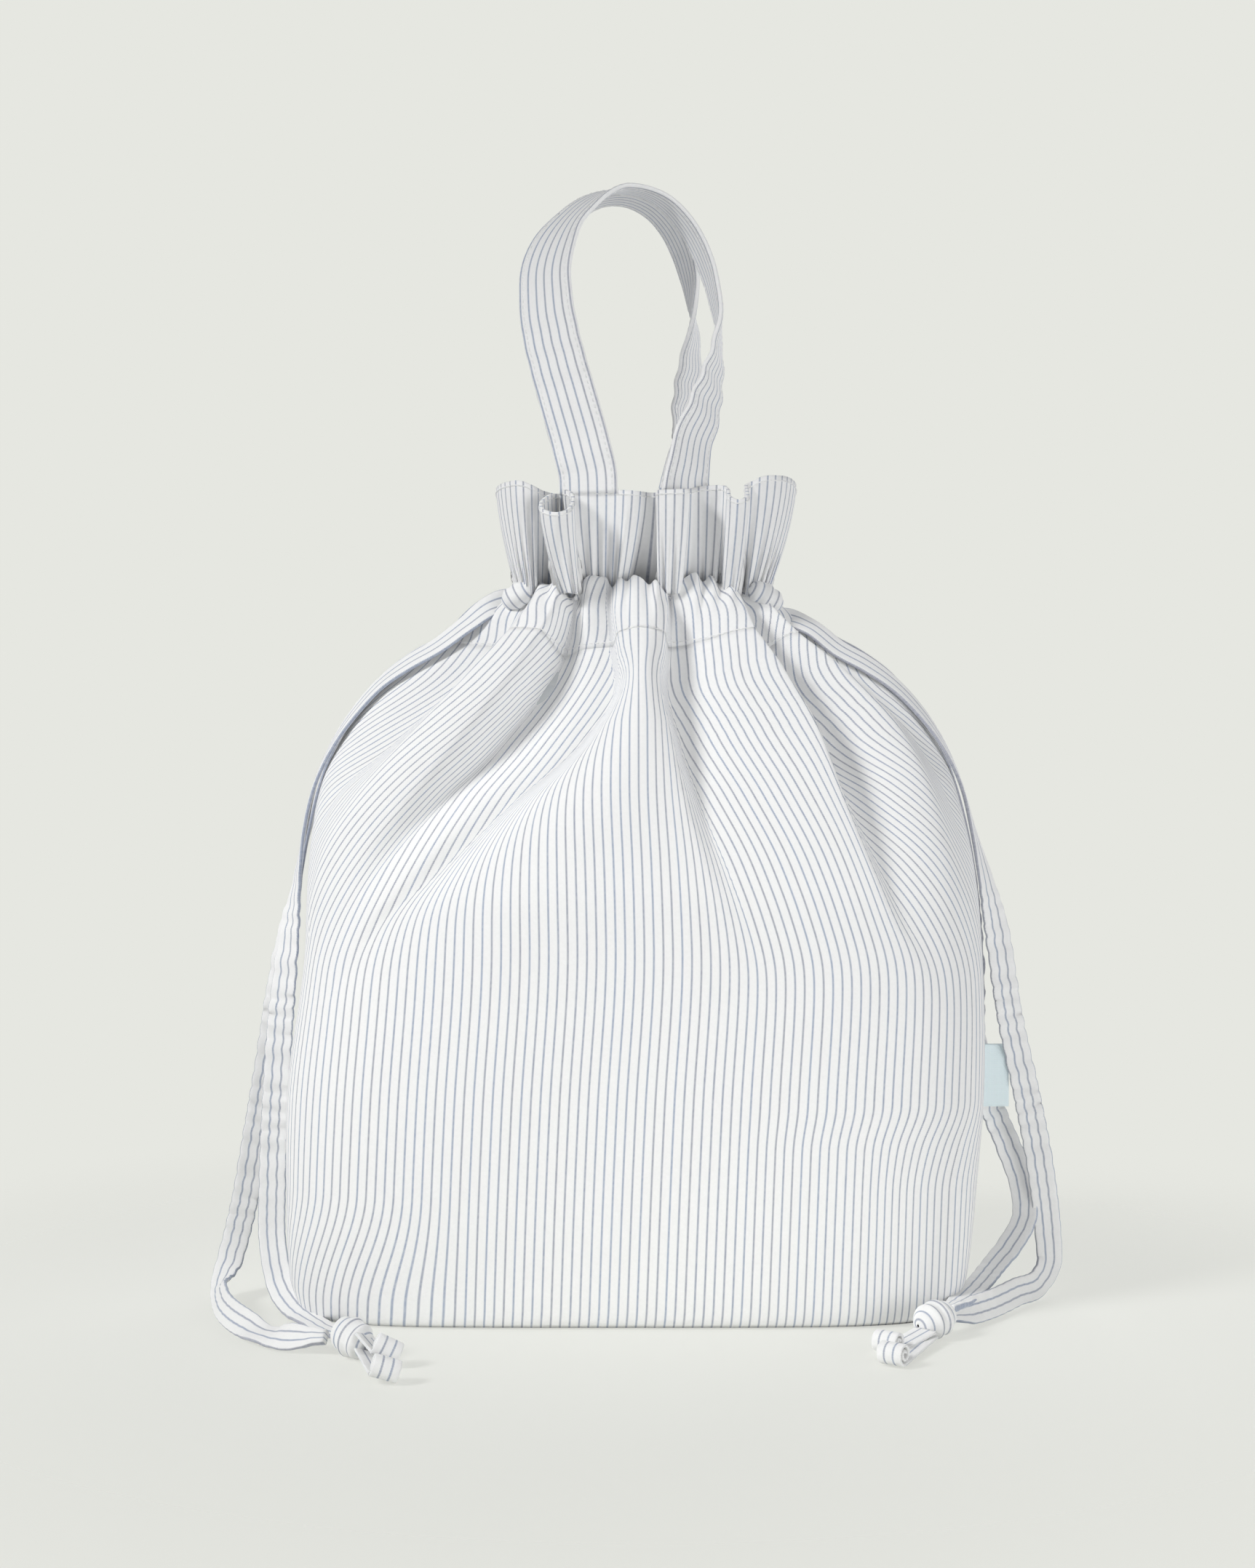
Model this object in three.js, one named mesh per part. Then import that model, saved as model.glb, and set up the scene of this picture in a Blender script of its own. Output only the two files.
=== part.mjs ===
// A soft drawstring cooler bag in thin striped cotton, padded with foam and lined with foil.
// Millimetres, +Z up, front towards -Y. The origin is the middle of the base, on the ground.
import * as THREE from 'three';

// Cloth, padding and the gap that touching pieces keep
const CLEARANCE = 0.3;
const CLOTH = 1.5;
const FOAM = 4;
const FOIL = 1;
const FACING = 1.2;
const HEM = 2.2;

// Bag body: full width and depth at each height, from the base seam to the neck
const BASE_WIDTH = 246;
const BASE_DEPTH = 118;
const BELLY_WIDTH = 264;
const BELLY_DEPTH = 132;
const BELLY_HEIGHT = 80;
const SHOULDER_WIDTH = 242;
const SHOULDER_DEPTH = 114;
const SHOULDER_HEIGHT = 195;
const HAUNCH_WIDTH = 196;
const HAUNCH_DEPTH = 86;
const HAUNCH_HEIGHT = 229;
const CROWN_WIDTH = 132;
const CROWN_DEPTH = 62;
const CROWN_HEIGHT = 245;
const BASE_SQUARENESS = 5;
const NECK_SQUARENESS = 2;
const FOAM_HEIGHT = 150;
const FOAM_STEP = 20;
const FOLD_DEPTH = 8;
const FOLD_START = 145;
const SHOULDER_PUFF = 8;

// Neck: the drawn channel, the frill above it and the slit where the tapes come out
const NECK_WIDTH = 83;
const NECK_DEPTH = 44;
const CHANNEL_BOTTOM = 250;
const CHANNEL_HEIGHT = 20;
const GATHER_COUNT = 9;
const GATHER_DEPTH = 2.4;
const EXIT_SLIT = 4.4;
const FRILL_HEIGHT = 36;
const FRILL_WIDTH = 114;
const FRILL_DEPTH = 62;
const RIPPLE_COUNT = 6;
const RIPPLE_DEPTH = 4;

// Drawstring tape, and the knot and rolled tails at its ends
const TAPE_WIDTH = 9;
const TAPE_THICKNESS = 1.5;
const TAPE_CHANNEL_GAP = 1.2;
const EXIT_LEAD = 47;
const KNOT_LENGTH = 18;
const KNOT_WIDTH = 12.4;
const TAIL_WIDTH = 7;
const TAIL_THICKNESS = 3;

// Carrying straps: where their legs are sewn, and how wide and high the two loops stand
const STRAP_WIDTH = 22;
const STRAP_THICKNESS = 1.8;
const STRAP_SPACING = 37;
const ANCHOR_HEIGHT = 28;
const LOOP_WIDTH = 67;
const LOOP_LEAN = 15;
const FRONT_LOOP_HEIGHT = 120;
const REAR_LOOP_HEIGHT = 108;

// Woven tag in the right side seam
const TAG_LENGTH = 10;
const TAG_HEIGHT = 24;
const TAG_THICKNESS = 1.2;
const TAG_BOTTOM = 71;
const TAG_GAP = 0.8;

// Mesh steps
const SIDE_COLUMNS = 4;
const FOLD_COLUMNS = 2;
const NECK_COLUMNS = 36;
const STRAP_STEPS = 36;
const STRAND_STEPS = 44;
const TAIL_STEPS = 6;
const KNOT_SIDES = 12;
const FINITE_STEP = 1e-3;

const WALL_FOOT = CLOTH + CLEARANCE;
const CHANNEL_TOP = CHANNEL_BOTTOM + CHANNEL_HEIGHT;
const FRILL_BOTTOM = CHANNEL_TOP + CLEARANCE;
const FRILL_TOP = FRILL_BOTTOM + FRILL_HEIGHT;
const STRAP_FOOT = FRILL_TOP + 2 * CLEARANCE;

// Wall profile as (half width, half depth, height), from the base seam to the neck
const PROFILE = new THREE.CatmullRomCurve3([
  new THREE.Vector3(BASE_WIDTH / 2, BASE_DEPTH / 2, WALL_FOOT),
  new THREE.Vector3(BELLY_WIDTH / 2, BELLY_DEPTH / 2, BELLY_HEIGHT),
  new THREE.Vector3(SHOULDER_WIDTH / 2, SHOULDER_DEPTH / 2, SHOULDER_HEIGHT),
  new THREE.Vector3(HAUNCH_WIDTH / 2, HAUNCH_DEPTH / 2, HAUNCH_HEIGHT),
  new THREE.Vector3(CROWN_WIDTH / 2, CROWN_DEPTH / 2, CROWN_HEIGHT),
  new THREE.Vector3(NECK_WIDTH / 2 + CLOTH, NECK_DEPTH / 2 + CLOTH, CHANNEL_BOTTOM - CLEARANCE),
]);

const COTTON = { color: 0xeeeeee, roughness: 0.9, metalness: 0 };
const PADDING = { color: 0xf4f2ea, roughness: 1, metalness: 0 };
const FOIL_FINISH = { color: 0xc9ccd0, roughness: 0.35, metalness: 0.9 };
const TAG_CLOTH = { color: 0xa9cfe2, roughness: 0.8, metalness: 0 };

const bag = new THREE.Group();

function addPiece(name, geometry, finish) {
  geometry.computeVertexNormals();
  const mesh = new THREE.Mesh(geometry, new THREE.MeshStandardMaterial(finish));
  mesh.name = name;
  bag.add(mesh);
  return mesh;
}

function smooth(value, from, to) {
  const share = THREE.MathUtils.clamp((value - from) / (to - from), 0, 1);
  return share * share * (3 - 2 * share);
}

// A closed sheet between two grids of points. Seen from its outside, columns run right and rows run up.
function sheet(columns, rows, outside, inside) {
  const points = [];
  const faces = [];
  const layer = (columns + 1) * (rows + 1);
  const at = (column, row) => row * (columns + 1) + column;
  for (const place of [outside, inside]) {
    for (let row = 0; row <= rows; row += 1) {
      for (let column = 0; column <= columns; column += 1) {
        points.push(...place(column / columns, row / rows).toArray());
      }
    }
  }
  for (let row = 0; row < rows; row += 1) {
    for (let column = 0; column < columns; column += 1) {
      const corners = [at(column, row), at(column + 1, row), at(column + 1, row + 1), at(column, row + 1)];
      const [a, b, c, d] = corners;
      const [e, f, g, h] = corners.map((corner) => corner + layer);
      faces.push(a, b, c, a, c, d, e, g, f, e, h, g);
    }
  }
  const acrossSteps = [...Array(columns).keys()];
  const upSteps = [...Array(rows).keys()];
  const border = [
    ...acrossSteps.map((step) => at(step, 0)),
    ...upSteps.map((step) => at(columns, step)),
    ...acrossSteps.map((step) => at(columns - step, rows)),
    ...upSteps.map((step) => at(0, rows - step)),
  ];
  border.forEach((here, index) => {
    const next = border[(index + 1) % border.length];
    faces.push(here, here + layer, next + layer, here, next + layer, next);
  });
  const geometry = new THREE.BufferGeometry();
  geometry.setAttribute('position', new THREE.Float32BufferAttribute(points, 3));
  geometry.setIndex(faces);
  return geometry;
}

// The same form behind the side seams: depth turned round, and the faces with it.
function mirrored(geometry) {
  const copy = geometry.clone();
  copy.scale(1, -1, 1);
  const faces = copy.getIndex();
  for (let face = 0; face < faces.count; face += 3) {
    const second = faces.getX(face + 1);
    faces.setX(face + 1, faces.getX(face + 2));
    faces.setX(face + 2, second);
  }
  return copy;
}

// Front and rear halves meet at the side seams with the gap between touching pieces.
function addHalves(name, geometry, finish) {
  geometry.translate(0, -CLEARANCE / 2, 0);
  addPiece(`front_${name}`, geometry, finish);
  addPiece(`rear_${name}`, mirrored(geometry), finish);
}

// Nothing at the neck, rising to one at the crown.
function offNeck(station) {
  return smooth(station.x, NECK_WIDTH / 2 + CLOTH, CROWN_WIDTH / 2);
}

function squareness(height) {
  return THREE.MathUtils.lerp(BASE_SQUARENESS, NECK_SQUARENESS, smooth(height, 0, CHANNEL_BOTTOM));
}

// Superellipse of the bag at one height: angle 0 is the left seam, a half turn is the right seam.
function wallMiddle(angle, along) {
  const station = PROFILE.getPointAt(THREE.MathUtils.clamp(along, 0, 1));
  const power = squareness(station.z);
  const across = Math.cos(angle);
  const forward = Math.sin(angle);
  const reach = (Math.abs(across) ** power + Math.abs(forward) ** power) ** (-1 / power);
  const swell = smooth(station.z, SHOULDER_HEIGHT, CROWN_HEIGHT) * offNeck(station);
  const lift = SHOULDER_PUFF * Math.abs(across) ** 3 * swell;
  return new THREE.Vector3(-station.x * reach * across, -station.y * reach * forward, station.z + lift);
}

// Folds that the drawn neck gathers, from left to right. Shares of the half width where a fold starts, at the
// shoulder and at the crown, then how far it stands out at the shoulder, the haunch and the crown, as shares of
// the fold depth.
const FOLDS = [
  [-0.975, -0.93, -0.88, 0, 0.15, 0],
  [-0.95, -0.78, -0.73, 0.6, 0.8, 0.15],
  [-0.91, -0.64, -0.41, -0.4, -0.75, -0.3],
  [-0.85, -0.5, -0.29, -0.4, -0.6, -0.3],
  [-0.79, -0.33, -0.12, -0.7, -0.85, -0.5],
  [-0.63, -0.24, -0.08, 0.15, 0.3, 0],
  [-0.21, -0.06, 0.015, 0.6, 0.85, 0.25],
  [0.25, 0.125, 0.115, 0.25, 0.4, 0],
  [0.34, 0.17, 0.15, -0.65, -0.85, -0.5],
  [0.58, 0.38, 0.35, -0.1, -0.25, -0.2],
  [0.76, 0.57, 0.56, 0.6, 0.75, 0.2],
  [0.815, 0.615, 0.62, -0.45, -0.5, 0],
  [0.905, 0.81, 0.76, 0.35, 0.5, 0.15],
  [0.97, 0.93, 0.88, 0, 0.15, 0],
];

// A value between stops, each one a height and a value.
function between(height, stops) {
  const next = stops.findIndex(([stop]) => height < stop);
  if (next === 0) return stops[0][1];
  if (next < 0) return stops[stops.length - 1][1];
  const [low, from] = stops[next - 1];
  const [high, to] = stops[next];
  return THREE.MathUtils.lerp(from, to, smooth(height, low, high));
}

// Angle at which the superellipse reaches a share of its half width.
function angleAt(share, power) {
  const depth = (1 - Math.abs(share) ** power) ** (1 / power);
  const angle = Math.atan2(depth, Math.abs(share));
  return share < 0 ? angle : Math.PI - angle;
}

// Columns of the wall at one height: a seam, the sides' steps, the fold lines and the steps between, and a seam.
// Each one has its angle and how far its fold stands out.
function wallColumns(along) {
  const station = PROFILE.getPointAt(along);
  const height = station.z;
  const power = squareness(height);
  const lines = FOLDS.map(([start, shoulder, crown, low, middle, high]) => {
    const places = [[FOLD_START, start], [SHOULDER_HEIGHT, shoulder], [CROWN_HEIGHT, crown]];
    const stands = [[FOLD_START, 0], [SHOULDER_HEIGHT, low], [HAUNCH_HEIGHT, middle], [CROWN_HEIGHT, high]];
    const rise = FOLD_DEPTH * between(height, stands) * offNeck(station);
    return { angle: angleAt(between(height, places), power), rise };
  });
  const stops = [{ angle: 0, rise: 0 }, ...lines, { angle: Math.PI, rise: 0 }];
  const columns = [stops[0]];
  for (let index = 1; index < stops.length; index += 1) {
    const last = stops[index - 1];
    const next = stops[index];
    const steps = index === 1 || index === stops.length - 1 ? SIDE_COLUMNS : FOLD_COLUMNS;
    for (let step = 1; step <= steps; step += 1) {
      const angle = THREE.MathUtils.lerp(last.angle, next.angle, step / steps);
      columns.push({ angle, rise: THREE.MathUtils.lerp(last.rise, next.rise, step / steps) });
    }
  }
  return columns;
}

function wallPoint(angle, along, out) {
  const here = wallMiddle(angle, along);
  const right = wallMiddle(angle + FINITE_STEP, along).sub(wallMiddle(angle - FINITE_STEP, along));
  const up = wallMiddle(angle, along + FINITE_STEP).sub(wallMiddle(angle, along - FINITE_STEP));
  const outward = right.cross(up).normalize();
  return here.addScaledVector(outward, out);
}

// How far along the profile a height lies.
function alongAt(height) {
  let low = 0;
  let high = 1;
  for (let step = 0; step < 40; step += 1) {
    const middle = (low + high) / 2;
    const below = PROFILE.getPointAt(middle).z < height;
    low = below ? middle : low;
    high = below ? high : middle;
  }
  return low;
}

// Every layer of the wall bends at the same heights, so the layers stay parallel.
const BENDS = [
  BELLY_HEIGHT / 2,
  BELLY_HEIGHT,
  FOAM_HEIGHT,
  FOAM_HEIGHT + FOAM_STEP,
  SHOULDER_HEIGHT,
  (SHOULDER_HEIGHT + HAUNCH_HEIGHT) / 2,
  HAUNCH_HEIGHT,
  (HAUNCH_HEIGHT + CROWN_HEIGHT) / 2,
  CROWN_HEIGHT,
].map(alongAt);

function wallSheet(from, to, outerInset, innerInset) {
  const levels = [from, ...BENDS.filter((bend) => bend > from && bend < to), to];
  const rows = levels.length - 1;
  const grid = levels.map(wallColumns);
  const last = grid[0].length - 1;
  const place = (inset) => (across, up) => {
    const row = Math.round(up * rows);
    const { angle, rise } = grid[row][Math.round(across * last)];
    return wallPoint(angle, levels[row], rise - inset(levels[row]));
  };
  return sheet(last, rows, place(outerInset), place(innerInset));
}

// Flat plate with the bag's base outline, drawn in by the inset.
function basePlate(inset, bottom, thickness) {
  const front = wallColumns(0).map(({ angle }) => angle);
  const rear = front.slice(1, -1).map((angle) => 2 * Math.PI - angle).reverse();
  const outline = [...front, ...rear].map((angle) => {
    const point = wallPoint(angle, 0, -inset);
    return new THREE.Vector2(point.x, point.y);
  });
  const settings = { depth: thickness, bevelEnabled: false };
  const plate = new THREE.ExtrudeGeometry(new THREE.Shape(outline), settings);
  plate.translate(0, 0, bottom);
  return plate;
}

// Padding and lining take their insets from the layers outside them.
const FOAM_OUTSIDE = CLOTH + CLEARANCE;
const FOAM_INSIDE = FOAM_OUTSIDE + FOAM;
const LINING_OUTSIDE = FOAM_INSIDE + CLEARANCE;
const BASE_FOAM_TOP = WALL_FOOT + FOAM;
const BASE_LINING_BOTTOM = BASE_FOAM_TOP + CLEARANCE;
const BASE_LINING_TOP = BASE_LINING_BOTTOM + FOIL;

function addShell() {
  addPiece('outer_base_panel', basePlate(0, 0, CLOTH), COTTON);
  const outer = wallSheet(0, 1, () => 0, () => CLOTH);
  addHalves('outer_panel', outer, COTTON);

  addPiece('base_insulation', basePlate(FOAM_OUTSIDE, WALL_FOOT, FOAM), PADDING);
  const foamFrom = alongAt(BASE_LINING_BOTTOM);
  const foamTo = alongAt(FOAM_HEIGHT);
  const foam = wallSheet(foamFrom, foamTo, () => FOAM_OUTSIDE, () => FOAM_INSIDE);
  addHalves('insulation', foam, PADDING);

  addPiece('base_lining', basePlate(LINING_OUTSIDE, BASE_LINING_BOTTOM, FOIL), FOIL_FINISH);
  const liningFrom = alongAt(BASE_LINING_TOP + CLEARANCE);
  const steppedOut = alongAt(FOAM_HEIGHT + FOAM_STEP);
  const step = (along) => smooth(along, foamTo, steppedOut);
  const inset = (along) => THREE.MathUtils.lerp(LINING_OUTSIDE, FOAM_OUTSIDE, step(along));
  const lining = wallSheet(liningFrom, 1, inset, (along) => inset(along) + FOIL);
  addHalves('lining', lining, FOIL_FINISH);
}

// Ellipse round the neck, drawn in by the inset.
function neckPoint(angle, inset, height) {
  const x = -(NECK_WIDTH / 2 - inset) * Math.cos(angle);
  const y = -(NECK_DEPTH / 2 - inset) * Math.sin(angle);
  return new THREE.Vector3(x, y, height);
}

const TAPE_OUTSIDE = CLOTH + CLEARANCE;
const TAPE_INSIDE = TAPE_OUTSIDE + TAPE_THICKNESS;
const FACING_OUTSIDE = TAPE_INSIDE + CLEARANCE;
const FACING_INSIDE = FACING_OUTSIDE + FACING;

// The channel is two layers of cloth with the tapes between them, open at the side seams.
function addChannel() {
  const end = Math.asin(EXIT_SLIT / (NECK_DEPTH - 2 * CLOTH));
  const angle = (share) => THREE.MathUtils.lerp(end, Math.PI - end, share);
  const height = (up) => CHANNEL_BOTTOM + CHANNEL_HEIGHT * up;
  const gather = (share) => GATHER_DEPTH * Math.sin(Math.PI * GATHER_COUNT * share) ** 2;
  const outer = sheet(
    4 * GATHER_COUNT,
    1,
    (across, up) => neckPoint(angle(across), -gather(across), height(up)),
    (across, up) => neckPoint(angle(across), CLOTH, height(up)),
  );
  addHalves('channel', outer, COTTON);
  const facing = sheet(
    NECK_COLUMNS / 2,
    1,
    (across, up) => neckPoint(angle(across), FACING_OUTSIDE, height(up)),
    (across, up) => neckPoint(angle(across), FACING_INSIDE, height(up)),
  );
  addHalves('channel_facing', facing, COTTON);
}

// The frill opens out from the neck. It lies flat where the straps are sewn and ripples between.
function frillPoint(angle, up, inset) {
  const across = Math.cos(angle);
  const halfWidth = THREE.MathUtils.lerp(NECK_WIDTH, FRILL_WIDTH, up) / 2;
  const halfDepth = THREE.MathUtils.lerp(NECK_DEPTH, FRILL_DEPTH, up) / 2;
  const strapEdge = (STRAP_SPACING + STRAP_WIDTH) / NECK_WIDTH;
  const loose = smooth(Math.abs(across), strapEdge, 1);
  const ripple = RIPPLE_DEPTH * up * loose * Math.cos(2 * RIPPLE_COUNT * angle);
  const x = -(halfWidth + ripple - inset) * across;
  const y = -(halfDepth + ripple - inset) * Math.sin(angle);
  return new THREE.Vector3(x, y, FRILL_BOTTOM + FRILL_HEIGHT * up);
}

function addFrill() {
  const angle = (share) => Math.PI * share;
  const frill = sheet(
    NECK_COLUMNS,
    3,
    (across, up) => frillPoint(angle(across), up, 0),
    (across, up) => frillPoint(angle(across), up, HEM),
  );
  addHalves('frill', frill, COTTON);
}

const TAPE_MIDDLE = (TAPE_OUTSIDE + TAPE_INSIDE) / 2;
const LOWER_TAPE_BOTTOM = CHANNEL_BOTTOM + TAPE_CHANNEL_GAP;
const UPPER_TAPE_BOTTOM = LOWER_TAPE_BOTTOM + TAPE_WIDTH + CLEARANCE;

// Left and right changed over, and the faces with them.
function crossed(geometry) {
  const copy = mirrored(geometry);
  copy.rotateZ(Math.PI);
  return copy;
}

// Plan of a tape in the front channel: in at the left slit, round a small bend and on to the right seam.
function tapePlan() {
  const lane = TAPE_THICKNESS / 2;
  const bend = TAPE_THICKNESS;
  const start = Math.asin((lane + bend) / (NECK_DEPTH / 2 - TAPE_MIDDLE));
  const landing = neckPoint(start, TAPE_MIDDLE, 0);
  const plan = [new THREE.Vector2(-EXIT_LEAD, -lane)];
  const bendSteps = 4;
  for (let step = 0; step <= bendSteps; step += 1) {
    const turn = (Math.PI / 2) * (step / bendSteps);
    const x = landing.x - bend + bend * Math.sin(turn);
    const y = -lane - bend + bend * Math.cos(turn);
    plan.push(new THREE.Vector2(x, y));
  }
  const roundSteps = NECK_COLUMNS / 2;
  for (let step = 1; step <= roundSteps; step += 1) {
    const point = neckPoint(THREE.MathUtils.lerp(start, Math.PI, step / roundSteps), TAPE_MIDDLE, 0);
    plan.push(new THREE.Vector2(point.x, point.y));
  }
  return plan;
}

function tapeRun(bottom) {
  const plan = tapePlan();
  const last = plan.length - 1;
  const place = (side) => (along, up) => {
    const index = Math.round(along * last);
    const heading = plan[Math.min(index + 1, last)].clone().sub(plan[Math.max(index - 1, 0)]).normalize();
    const reach = (side * TAPE_THICKNESS) / 2;
    const x = plan[index].x + heading.y * reach;
    const y = plan[index].y - heading.x * reach;
    return new THREE.Vector3(x, y, bottom + TAPE_WIDTH * up);
  };
  return sheet(last, 1, place(1), place(-1));
}

function addTapeRuns() {
  const upper = tapeRun(UPPER_TAPE_BOTTOM);
  upper.translate(0, -CLEARANCE / 2, 0);
  addPiece('left_string_front_run', upper, COTTON);
  addPiece('left_string_rear_run', mirrored(upper), COTTON);
  const lower = tapeRun(LOWER_TAPE_BOTTOM);
  lower.translate(0, -CLEARANCE / 2, 0);
  addPiece('right_string_front_run', crossed(lower), COTTON);
  addPiece('right_string_rear_run', mirrored(crossed(lower)), COTTON);
}

// A flat band along a route of places, each with the direction that its outer face looks in.
function band(route, steps, width, thickness) {
  const line = new THREE.CatmullRomCurve3(route.map((stop) => stop.place));
  const looks = new THREE.CatmullRomCurve3(route.map((stop) => stop.facing));
  const place = (side) => (across, along) => {
    const forward = line.getTangent(along);
    const outward = looks.getPoint(along);
    const sideways = forward.clone().cross(outward).normalize();
    const normal = sideways.clone().cross(forward).normalize();
    const point = line.getPoint(along);
    point.addScaledVector(sideways, width * (across - 0.5));
    return point.addScaledVector(normal, (side * thickness) / 2);
  };
  return sheet(1, steps, place(1), place(-1));
}

// Each sewn strap end lies against the frill's inner face.
function anchorPoint(x, up, inset) {
  const halfWidth = THREE.MathUtils.lerp(NECK_WIDTH, FRILL_WIDTH, up) / 2 - inset;
  const halfDepth = THREE.MathUtils.lerp(NECK_DEPTH, FRILL_DEPTH, up) / 2 - inset;
  const y = -halfDepth * Math.sqrt(1 - (x / halfWidth) ** 2);
  return new THREE.Vector3(x, y, FRILL_BOTTOM + FRILL_HEIGHT * up);
}

const ANCHOR_OUTSIDE = HEM + CLEARANCE;
const ANCHOR_INSIDE = ANCHOR_OUTSIDE + STRAP_THICKNESS;

function addAnchors() {
  const lowest = 1 - ANCHOR_HEIGHT / FRILL_HEIGHT;
  const x = (across) => -STRAP_SPACING / 2 + STRAP_WIDTH * (across - 0.5);
  const left = sheet(
    3,
    2,
    (across, up) => anchorPoint(x(across), THREE.MathUtils.lerp(lowest, 1, up), ANCHOR_OUTSIDE),
    (across, up) => anchorPoint(x(across), THREE.MathUtils.lerp(lowest, 1, up), ANCHOR_INSIDE),
  );
  left.translate(0, -CLEARANCE / 2, 0);
  addPiece('front_left_strap_end', left, COTTON);
  addPiece('front_right_strap_end', crossed(left), COTTON);
  addPiece('rear_left_strap_end', mirrored(left), COTTON);
  addPiece('rear_right_strap_end', mirrored(crossed(left)), COTTON);
}

// Shares of the loop's half width and height, left foot to right foot.
const LOOP_SHAPE = [
  [-STRAP_SPACING / LOOP_WIDTH, 0],
  [-STRAP_SPACING / LOOP_WIDTH, 0.05],
  [-0.72, 0.35],
  [-0.96, 0.59],
  [-1, 0.71],
  [-0.86, 0.84],
  [-0.53, 0.94],
  [0, 1],
  [0.53, 0.94],
  [0.86, 0.84],
  [1, 0.71],
  [0.98, 0.56],
  [0.78, 0.33],
  [STRAP_SPACING / LOOP_WIDTH, 0.05],
  [STRAP_SPACING / LOOP_WIDTH, 0],
];
// How far the strap's outer face turns from the loop's outside towards its own side of the bag.
const FRONT_TURNS = [80, 80, 68, 52, 40, 28, 8, -14, -26, -27, -14, 0, 38, 80, 80];
const REAR_TURNS = [80, 80, 60, 40, 30, 20, 12, 8, 14, 16, 8, 2, 40, 80, 80];

// A strap's loop in the front half: its feet stand on the sewn ends and its top leans in over the mouth.
function strapLoop(height, turns) {
  const foot = anchorPoint(STRAP_SPACING / 2, 1, (ANCHOR_OUTSIDE + ANCHOR_INSIDE) / 2);
  const places = LOOP_SHAPE.map(([across, up]) => {
    const y = foot.y - CLEARANCE / 2 + LOOP_LEAN * up ** 1.3;
    return new THREE.Vector3((across * LOOP_WIDTH) / 2, y, STRAP_FOOT + height * up);
  });
  const line = new THREE.CatmullRomCurve3(places);
  const route = places.map((place, index) => {
    const forward = line.getTangent(index / (places.length - 1));
    const turn = THREE.MathUtils.degToRad(turns[index]);
    const outside = new THREE.Vector3(-forward.z, 0, forward.x).normalize();
    const facing = outside.multiplyScalar(Math.cos(turn)).add(new THREE.Vector3(0, -Math.sin(turn), 0));
    return { place, facing };
  });
  return band(route, STRAP_STEPS, STRAP_WIDTH, STRAP_THICKNESS);
}

function addStraps() {
  addPiece('front_handle_strap', strapLoop(FRONT_LOOP_HEIGHT, FRONT_TURNS), COTTON);
  addPiece('rear_handle_strap', mirrored(strapLoop(REAR_LOOP_HEIGHT, REAR_TURNS)), COTTON);
}

function addTag() {
  const tag = new THREE.BoxGeometry(TAG_LENGTH, TAG_THICKNESS, TAG_HEIGHT);
  const mesh = addPiece('side_tag', tag, TAG_CLOTH);
  mesh.position.set(BELLY_WIDTH / 2 + TAG_GAP + TAG_LENGTH / 2, 0, TAG_BOTTOM + TAG_HEIGHT / 2);
}

// Routes of the free strands, from the slit to the knot: place, then the way the outer face looks.
const LEFT_OUTER_ROUTE = [
  [-47.3, 0.9, 265, 0, 1, 0],
  [-50, 1.3, 265, 0, 1, 0],
  [-56, 2.8, 263.2, 0, 0.9, 0.4],
  [-65, 5, 258.4, -0.2, 0.5, 0.8],
  [-74, 5.2, 252.6, -0.4, 0, 0.9],
  [-86, 5.4, 245.9, -0.5, 0, 0.85],
  [-97.5, 5.4, 237.3, -0.65, 0, 0.75],
  [-107, 5.4, 225.1, -0.8, 0, 0.6],
  [-115.5, 5.2, 211.7, -0.87, 0, 0.5],
  [-121.9, 4.8, 196, -0.95, 0, 0.3],
  [-126.8, 4, 178, -0.97, -0.1, 0.25],
  [-131, 2.8, 158, -0.95, -0.3, 0.15],
  [-134, 1.6, 138, -0.8, -0.6, 0.1],
  [-139, 0.6, 105, -0.4, -0.9, 0.1],
  [-143, 0, 70, -0.1, -1, 0.1],
  [-149, -1, 36, 0, -1, 0.1],
  [-155, -2, 16, 0, -0.95, 0.3],
  [-160, -6, 5, -0.1, -0.6, 0.8],
  [-162.5, -15, 1.6, 0, -0.1, 1],
  [-158, -40, 1.4, 0, 0, 1],
  [-147, -64, 1.4, 0, 0, 1],
  [-134, -81, 1.8, 0, 0, 1],
  [-120, -91, 3.2, 0, 0, 1],
  [-107, -95.5, 6.1, 0, 0, 1],
];
const LEFT_INNER_ROUTE = [
  [-47.3, -0.9, 265, 0, -1, 0],
  [-50, -1.3, 265, 0, -1, 0],
  [-56, -2.8, 263, 0, -0.9, 0.4],
  [-65, -5, 258, -0.2, -0.5, 0.8],
  [-74, -5.4, 252.5, -0.4, 0, 0.9],
  [-86, -5.6, 245.7, -0.5, 0, 0.85],
  [-97.5, -5.6, 237.1, -0.65, 0, 0.75],
  [-107, -5.8, 224.9, -0.8, 0, 0.6],
  [-115.5, -6.2, 211.5, -0.87, 0, 0.5],
  [-121.8, -7.2, 195.6, -0.95, 0, 0.3],
  [-126.4, -8.8, 177.6, -0.97, -0.05, 0.25],
  [-130, -10.6, 158, -0.99, -0.1, 0.15],
  [-132.2, -12.2, 138, -0.99, -0.15, 0.05],
  [-134, -14.2, 105, -0.98, -0.2, 0],
  [-134.8, -17, 70, -0.9, -0.4, 0],
  [-136, -20, 36, -0.7, -0.7, 0.1],
  [-135.5, -24, 16, -0.5, -0.75, 0.4],
  [-132, -30, 5.5, -0.3, -0.4, 0.9],
  [-126.5, -39, 1.6, 0, 0, 1],
  [-117.5, -54, 1.4, 0, 0, 1],
  [-109, -70, 1.8, 0, 0, 1],
  [-103.5, -82, 3.4, 0, 0, 1],
  [-100.6, -90, 5.2, 0, 0, 1],
];
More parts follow.
